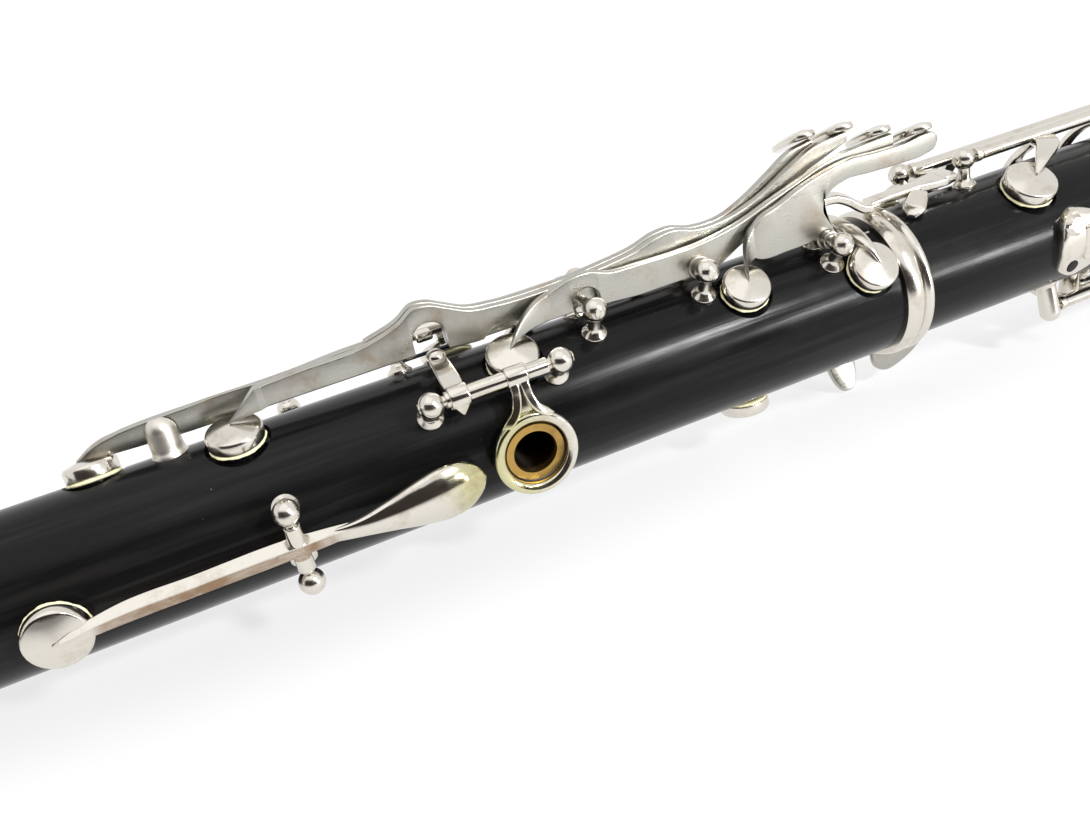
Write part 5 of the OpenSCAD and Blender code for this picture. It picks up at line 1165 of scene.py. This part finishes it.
FINISHES = {
    "wood": wood_finish,
    "rubber": lambda: wood_finish("rubber", (0.12, 0.26), 0.3),
    "plated": plated_finish,
    # Thumb keys: yellow wear under the thumb, and tarnish with painted shade along the register bar's lower
    # side
    "handled": lambda: plated_finish("handled", 0.6, (0.05, 0.16), 0.05, 1.0),
    # Darker plating: unpolished side plates, and painted shade on touches that lie in shadow
    "dull": lambda: plated_finish("dull", 0.8, (0.22, 0.38), 0.12, 0.0, "dull"),
    "satin": lambda: plated_finish("satin", 0.3, (0.32, 0.46), 0.08),
    "pad_skin": skin_finish,
    "bare_brass": brass_finish,
    "blued_steel": spring_finish,
    "cork_skin": cork_finish,
    "cane_fibre": cane_finish,
}


def finish(name):
    """Material of a finish, made when first asked for."""
    return bpy.data.materials.get(name) or FINISHES[name]()


# Operators

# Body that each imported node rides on, and the finishes of the nodes that aren't plated
BODIES = {node: body for body, nodes in frame["record"]["behaviour"]["bodies"].items() for node in nodes}
NODE_FINISH = {
    "upper_joint": "wood", "lower_joint": "wood", "bell": "wood", "barrel": "wood", "mouthpiece": "rubber",
    "tenon_corks": "cork_skin", "mouthpiece_cork": "cork_skin", "reed": "cane_fibre",
    "hole_tubes": "bare_brass", "upper_springs": "blued_steel", "lower_springs": "blued_steel",
}


class ClarinetStep(bpy.types.Operator):
    """Step that makes a group of pieces, each by the function named after its node"""

    bl_idname = "clarinet.step"
    bl_label = "Step"
    pieces = ()
    looks = ("plated",)

    def execute(self, context):
        for piece in self.pieces:
            name = piece.__name__
            make(name, piece(), [finish(look) for look in self.looks], BODIES[name])
        return {"FINISHED"}


class CLARINET_OT_effects(bpy.types.Operator):
    """Makes the shared shader effects"""

    bl_idname = "clarinet.effects"
    bl_label = "Effects"

    def execute(self, context):
        grain_group()
        wear_group()
        dust_group()
        return {"FINISHED"}


class CLARINET_OT_finishes(bpy.types.Operator):
    """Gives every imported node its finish"""

    bl_idname = "clarinet.finishes"
    bl_label = "Finishes"

    def execute(self, context):
        for name, node in frame["nodes"].items():
            kind = "pad_skin" if "_pad" in name else NODE_FINISH.get(name, "plated")
            node.data.materials.clear()
            node.data.materials.append(finish(kind))
        return {"FINISHED"}


class CLARINET_OT_posts(ClarinetStep):
    """Makes the turned posts, the joint rings and the key guide"""

    bl_idname = "clarinet.posts"
    bl_label = "Posts"
    looks = ("plated", "satin")
    pieces = (upper_posts, lower_posts, joint_rings, key_guide)


class CLARINET_OT_thumb_keys(ClarinetStep):
    """Makes the register key and the thumb ring key"""

    bl_idname = "clarinet.thumb_keys"
    bl_label = "Thumb keys"
    looks = ("handled",)
    pieces = (register_key, thumb_ring_key)


class CLARINET_OT_thumb_rest(ClarinetStep):
    """Makes the thumb rest"""

    bl_idname = "clarinet.thumb_rest"
    bl_label = "Thumb rest"
    looks = ("plated", "wood")
    pieces = (thumb_rest,)


class CLARINET_OT_side_keys(ClarinetStep):
    """Makes the four side keys"""

    bl_idname = "clarinet.side_keys"
    bl_label = "Side keys"
    looks = ("dull", "plated")
    pieces = (side_key_1, side_key_2, side_key_3, side_key_4)


class CLARINET_OT_upper_keys(ClarinetStep):
    """Makes the other keys of the upper joint"""

    bl_idname = "clarinet.upper_keys"
    bl_label = "Upper keys"
    # The second finish, darker plating, is painted shade on the C sharp / G sharp touch
    looks = ("plated", "dull")
    pieces = (
        throat_a_key, throat_gsharp_key, upper_ring_key_1, upper_ring_key_2,
        csharp_gsharp_key, eflat_bflat_key,
    )


class CLARINET_OT_lower_keys(ClarinetStep):
    """Makes the keys and levers of the lower joint"""

    bl_idname = "clarinet.lower_keys"
    bl_label = "Lower keys"
    # The second finish, darker plating, is painted shade on the E / B lever's wing
    looks = ("plated", "dull")
    pieces = (
        lower_ring_key, b_fsharp_key, aflat_eflat_key, f_c_key, e_b_key, fsharp_csharp_key,
        e_b_lever, fsharp_csharp_lever, f_c_lever,
    )


def pad_name(key):
    """Name of a key's pad node, which keeps the key's number, if it has one, at its end."""
    stem, _, number = key.rpartition("_")
    return f"{stem}_pad_{number}" if number.isdigit() else f"{key}_pad"


class CLARINET_OT_pads(bpy.types.Operator):
    """Makes the pads"""

    bl_idname = "clarinet.pads"
    bl_label = "Pads"

    def execute(self, context):
        for key, place in CUPS.items():
            name = pad_name(key)
            make(name, opened(key, [pad(*place)]), [finish("pad_skin")], BODIES[name], 60)
        return {"FINISHED"}


# Camera of the photo: eye in metres, directions, focal length and width in pixels, sensor in millimetres
EYE = Vector((-0.114612, -0.155973, 0.086438))
LOOK = Vector((0.242, 0.845, -0.477)).normalized()
RIGHT = LOOK.cross(Vector((0.333, 0.389, 0.859))).normalized()
UP = RIGHT.cross(LOOK)
FOCAL, PHOTO_WIDTH, SENSOR = 1000, 1090, 36

# Height of the floor under the middle joint, its rise along the bore, and its corners, in metres
FLOOR_HEIGHT, FLOOR_RISE = -0.0281, -0.0346
FLOOR_CORNERS = ((-6.0, -4.0), (6.0, -4.0), (6.0, 12.0), (-6.0, 12.0))

# Corners of the dark card behind the camera, along the camera's right and up, and its distance, in metres
CARD_CORNERS = ((-0.4, -0.35), (0.4, -0.35), (0.4, 0.045), (-0.4, 0.045))
CARD_BEHIND = 0.12

# Name, place, aim, width in metres and power in watts of the lamps
LAMPS = (
    ("ceiling", (-0.2, -0.2, 1.4), (0, 0, 0), 1.4, 2.0),
    ("window", (0.43, -0.87, 0.70), (-0.042, 0, 0), 0.12, 8.0),
    ("side_window", (0.587, -1.0, 0.304), (-0.018, 0, 0), 0.10, 3.6),
    ("low_window", (0.78, -0.94, 0.045), (0.02, 0, 0), 0.12, 3.6),
)


def slab(name, corners, material):
    """Flat stage piece from four corners in metres."""
    mesh = bpy.data.meshes.new(name)
    mesh.from_pydata(corners, [], [(0, 1, 2, 3)])
    mesh.materials.append(material)
    piece = bpy.data.objects.new(name, mesh)
    bpy.context.scene.collection.objects.link(piece)
    return piece


def lamp(name, place, aim, width, power):
    """Square area light at a place in metres, turned to an aim."""
    light = bpy.data.lights.new(name, "AREA")
    light.size = width
    light.energy = power
    item = bpy.data.objects.new(name, light)
    item.location = place
    item.rotation_euler = (Vector(aim) - Vector(place)).to_track_quat("-Z", "Y").to_euler()
    bpy.context.scene.collection.objects.link(item)


def photo_camera():
    """Camera with the photo's eye, direction and angle of view."""
    camera = bpy.data.cameras.new("camera")
    camera.lens = FOCAL / PHOTO_WIDTH * SENSOR
    camera.sensor_width = SENSOR
    camera.clip_start = 0.005
    shot = bpy.data.objects.new("camera", camera)
    place = Matrix((RIGHT, UP, -LOOK)).transposed().to_4x4()
    place.translation = EYE
    shot.matrix_world = place
    bpy.context.scene.collection.objects.link(shot)
    return shot


def floor_finish():
    """White floor that glows softly; in reflections it darkens towards the camera's side of the room."""
    material, t, shader, vector = new_material("white_floor")
    ahead = t.measure("DOT_PRODUCT", vector, (0.507, 0.862, 0.0))
    mirrored = t.add("ShaderNodeLightPath").outputs["Is Glossy Ray"]
    near = t.times(t.span(ahead, -0.28, -0.12, 0.75, 0.0), mirrored)
    white = t.mix(t.noise(vector, 6.0, 2.0), tint("floor"), tuple(0.985 * c for c in tint("floor")))
    t.feed(shader, "Base Color", t.mix(near, white, tint("shade")))
    t.feed(shader, "Emission Color", t.mix(near, (1.0, 1.0, 1.0, 1.0), tint("shade")))
    t.feed(shader, "Emission Strength", 0.6)
    t.feed(shader, "Roughness", 0.7)
    t.feed(shader, "Specular IOR Level", 0.05)
    return material


def card_finish():
    """Dark brown of the room behind the camera."""
    material, t, shader, vector = new_material("dark_room")
    brown = t.mix(t.noise(vector, 3.0, 2.0), (0.035, 0.024, 0.02, 1.0), (0.02, 0.015, 0.014, 1.0))
    t.feed(shader, "Base Color", brown)
    t.feed(shader, "Roughness", 0.9)
    return material


def room_light(level):
    """World that lights at a level and that the camera sees as near white."""
    world = bpy.data.worlds.new("room")
    world.use_nodes = True
    t = Tree(world.node_tree)
    seen = t.add("ShaderNodeLightPath").outputs["Is Camera Ray"]
    sky = t.mix(seen, (level, level, level * 1.01, 1.0), (0.975, 0.975, 0.98, 1.0))
    t.feed(world.node_tree.nodes["Background"], "Color", sky)
    return world


class CLARINET_OT_stage(bpy.types.Operator):
    """Sets the camera, floor, dark card, room and lamps"""

    bl_idname = "clarinet.stage"
    bl_label = "Stage"

    def execute(self, context):
        scene = context.scene
        scene.camera = photo_camera()
        scene.view_settings.view_transform = "Standard"
        slab("floor", [(x, y, FLOOR_HEIGHT + FLOOR_RISE * x) for x, y in FLOOR_CORNERS], floor_finish())
        centre = EYE - CARD_BEHIND * LOOK
        card = slab("dark_card", [tuple(centre + i * RIGHT + j * UP) for i, j in CARD_CORNERS], card_finish())
        card.visible_camera = card.visible_diffuse = card.visible_shadow = False
        scene.world = room_light(scene.clarinet_colours.level)
        for row in LAMPS:
            lamp(*row)
        return {"FINISHED"}


class CLARINET_PT_panel(bpy.types.Panel):
    """Steps and settings of the clarinet"""

    bl_idname = "CLARINET_PT_panel"
    bl_label = "Clarinet"
    bl_space_type = "VIEW_3D"
    bl_region_type = "UI"
    bl_category = "Clarinet"

    def draw(self, context):
        for group in (context.scene.clarinet_sizes, context.scene.clarinet_colours):
            for key in group.__annotations__:
                self.layout.prop(group, key)
        for step in STEPS:
            self.layout.operator(step.bl_idname)


STEPS = (
    CLARINET_OT_effects, CLARINET_OT_finishes, CLARINET_OT_posts, CLARINET_OT_thumb_keys,
    CLARINET_OT_thumb_rest, CLARINET_OT_side_keys, CLARINET_OT_upper_keys, CLARINET_OT_lower_keys,
    CLARINET_OT_pads, CLARINET_OT_stage,
)
CLASSES = (ClarinetSizes, ClarinetColours, *STEPS, CLARINET_PT_panel)


def register():
    """Registers the classes and the scene's settings."""
    for item in CLASSES:
        bpy.utils.register_class(item)
    bpy.types.Scene.clarinet_sizes = PointerProperty(type=ClarinetSizes)
    bpy.types.Scene.clarinet_colours = PointerProperty(type=ClarinetColours)


def unregister():
    """Removes the scene's settings and the classes."""
    del bpy.types.Scene.clarinet_colours
    del bpy.types.Scene.clarinet_sizes
    for item in reversed(CLASSES):
        bpy.utils.unregister_class(item)


def main():
    """Runs every step."""
    register()
    for step in STEPS:
        getattr(bpy.ops.clarinet, step.bl_idname.split(".")[1])()


if __name__ == "__main__":
    main()
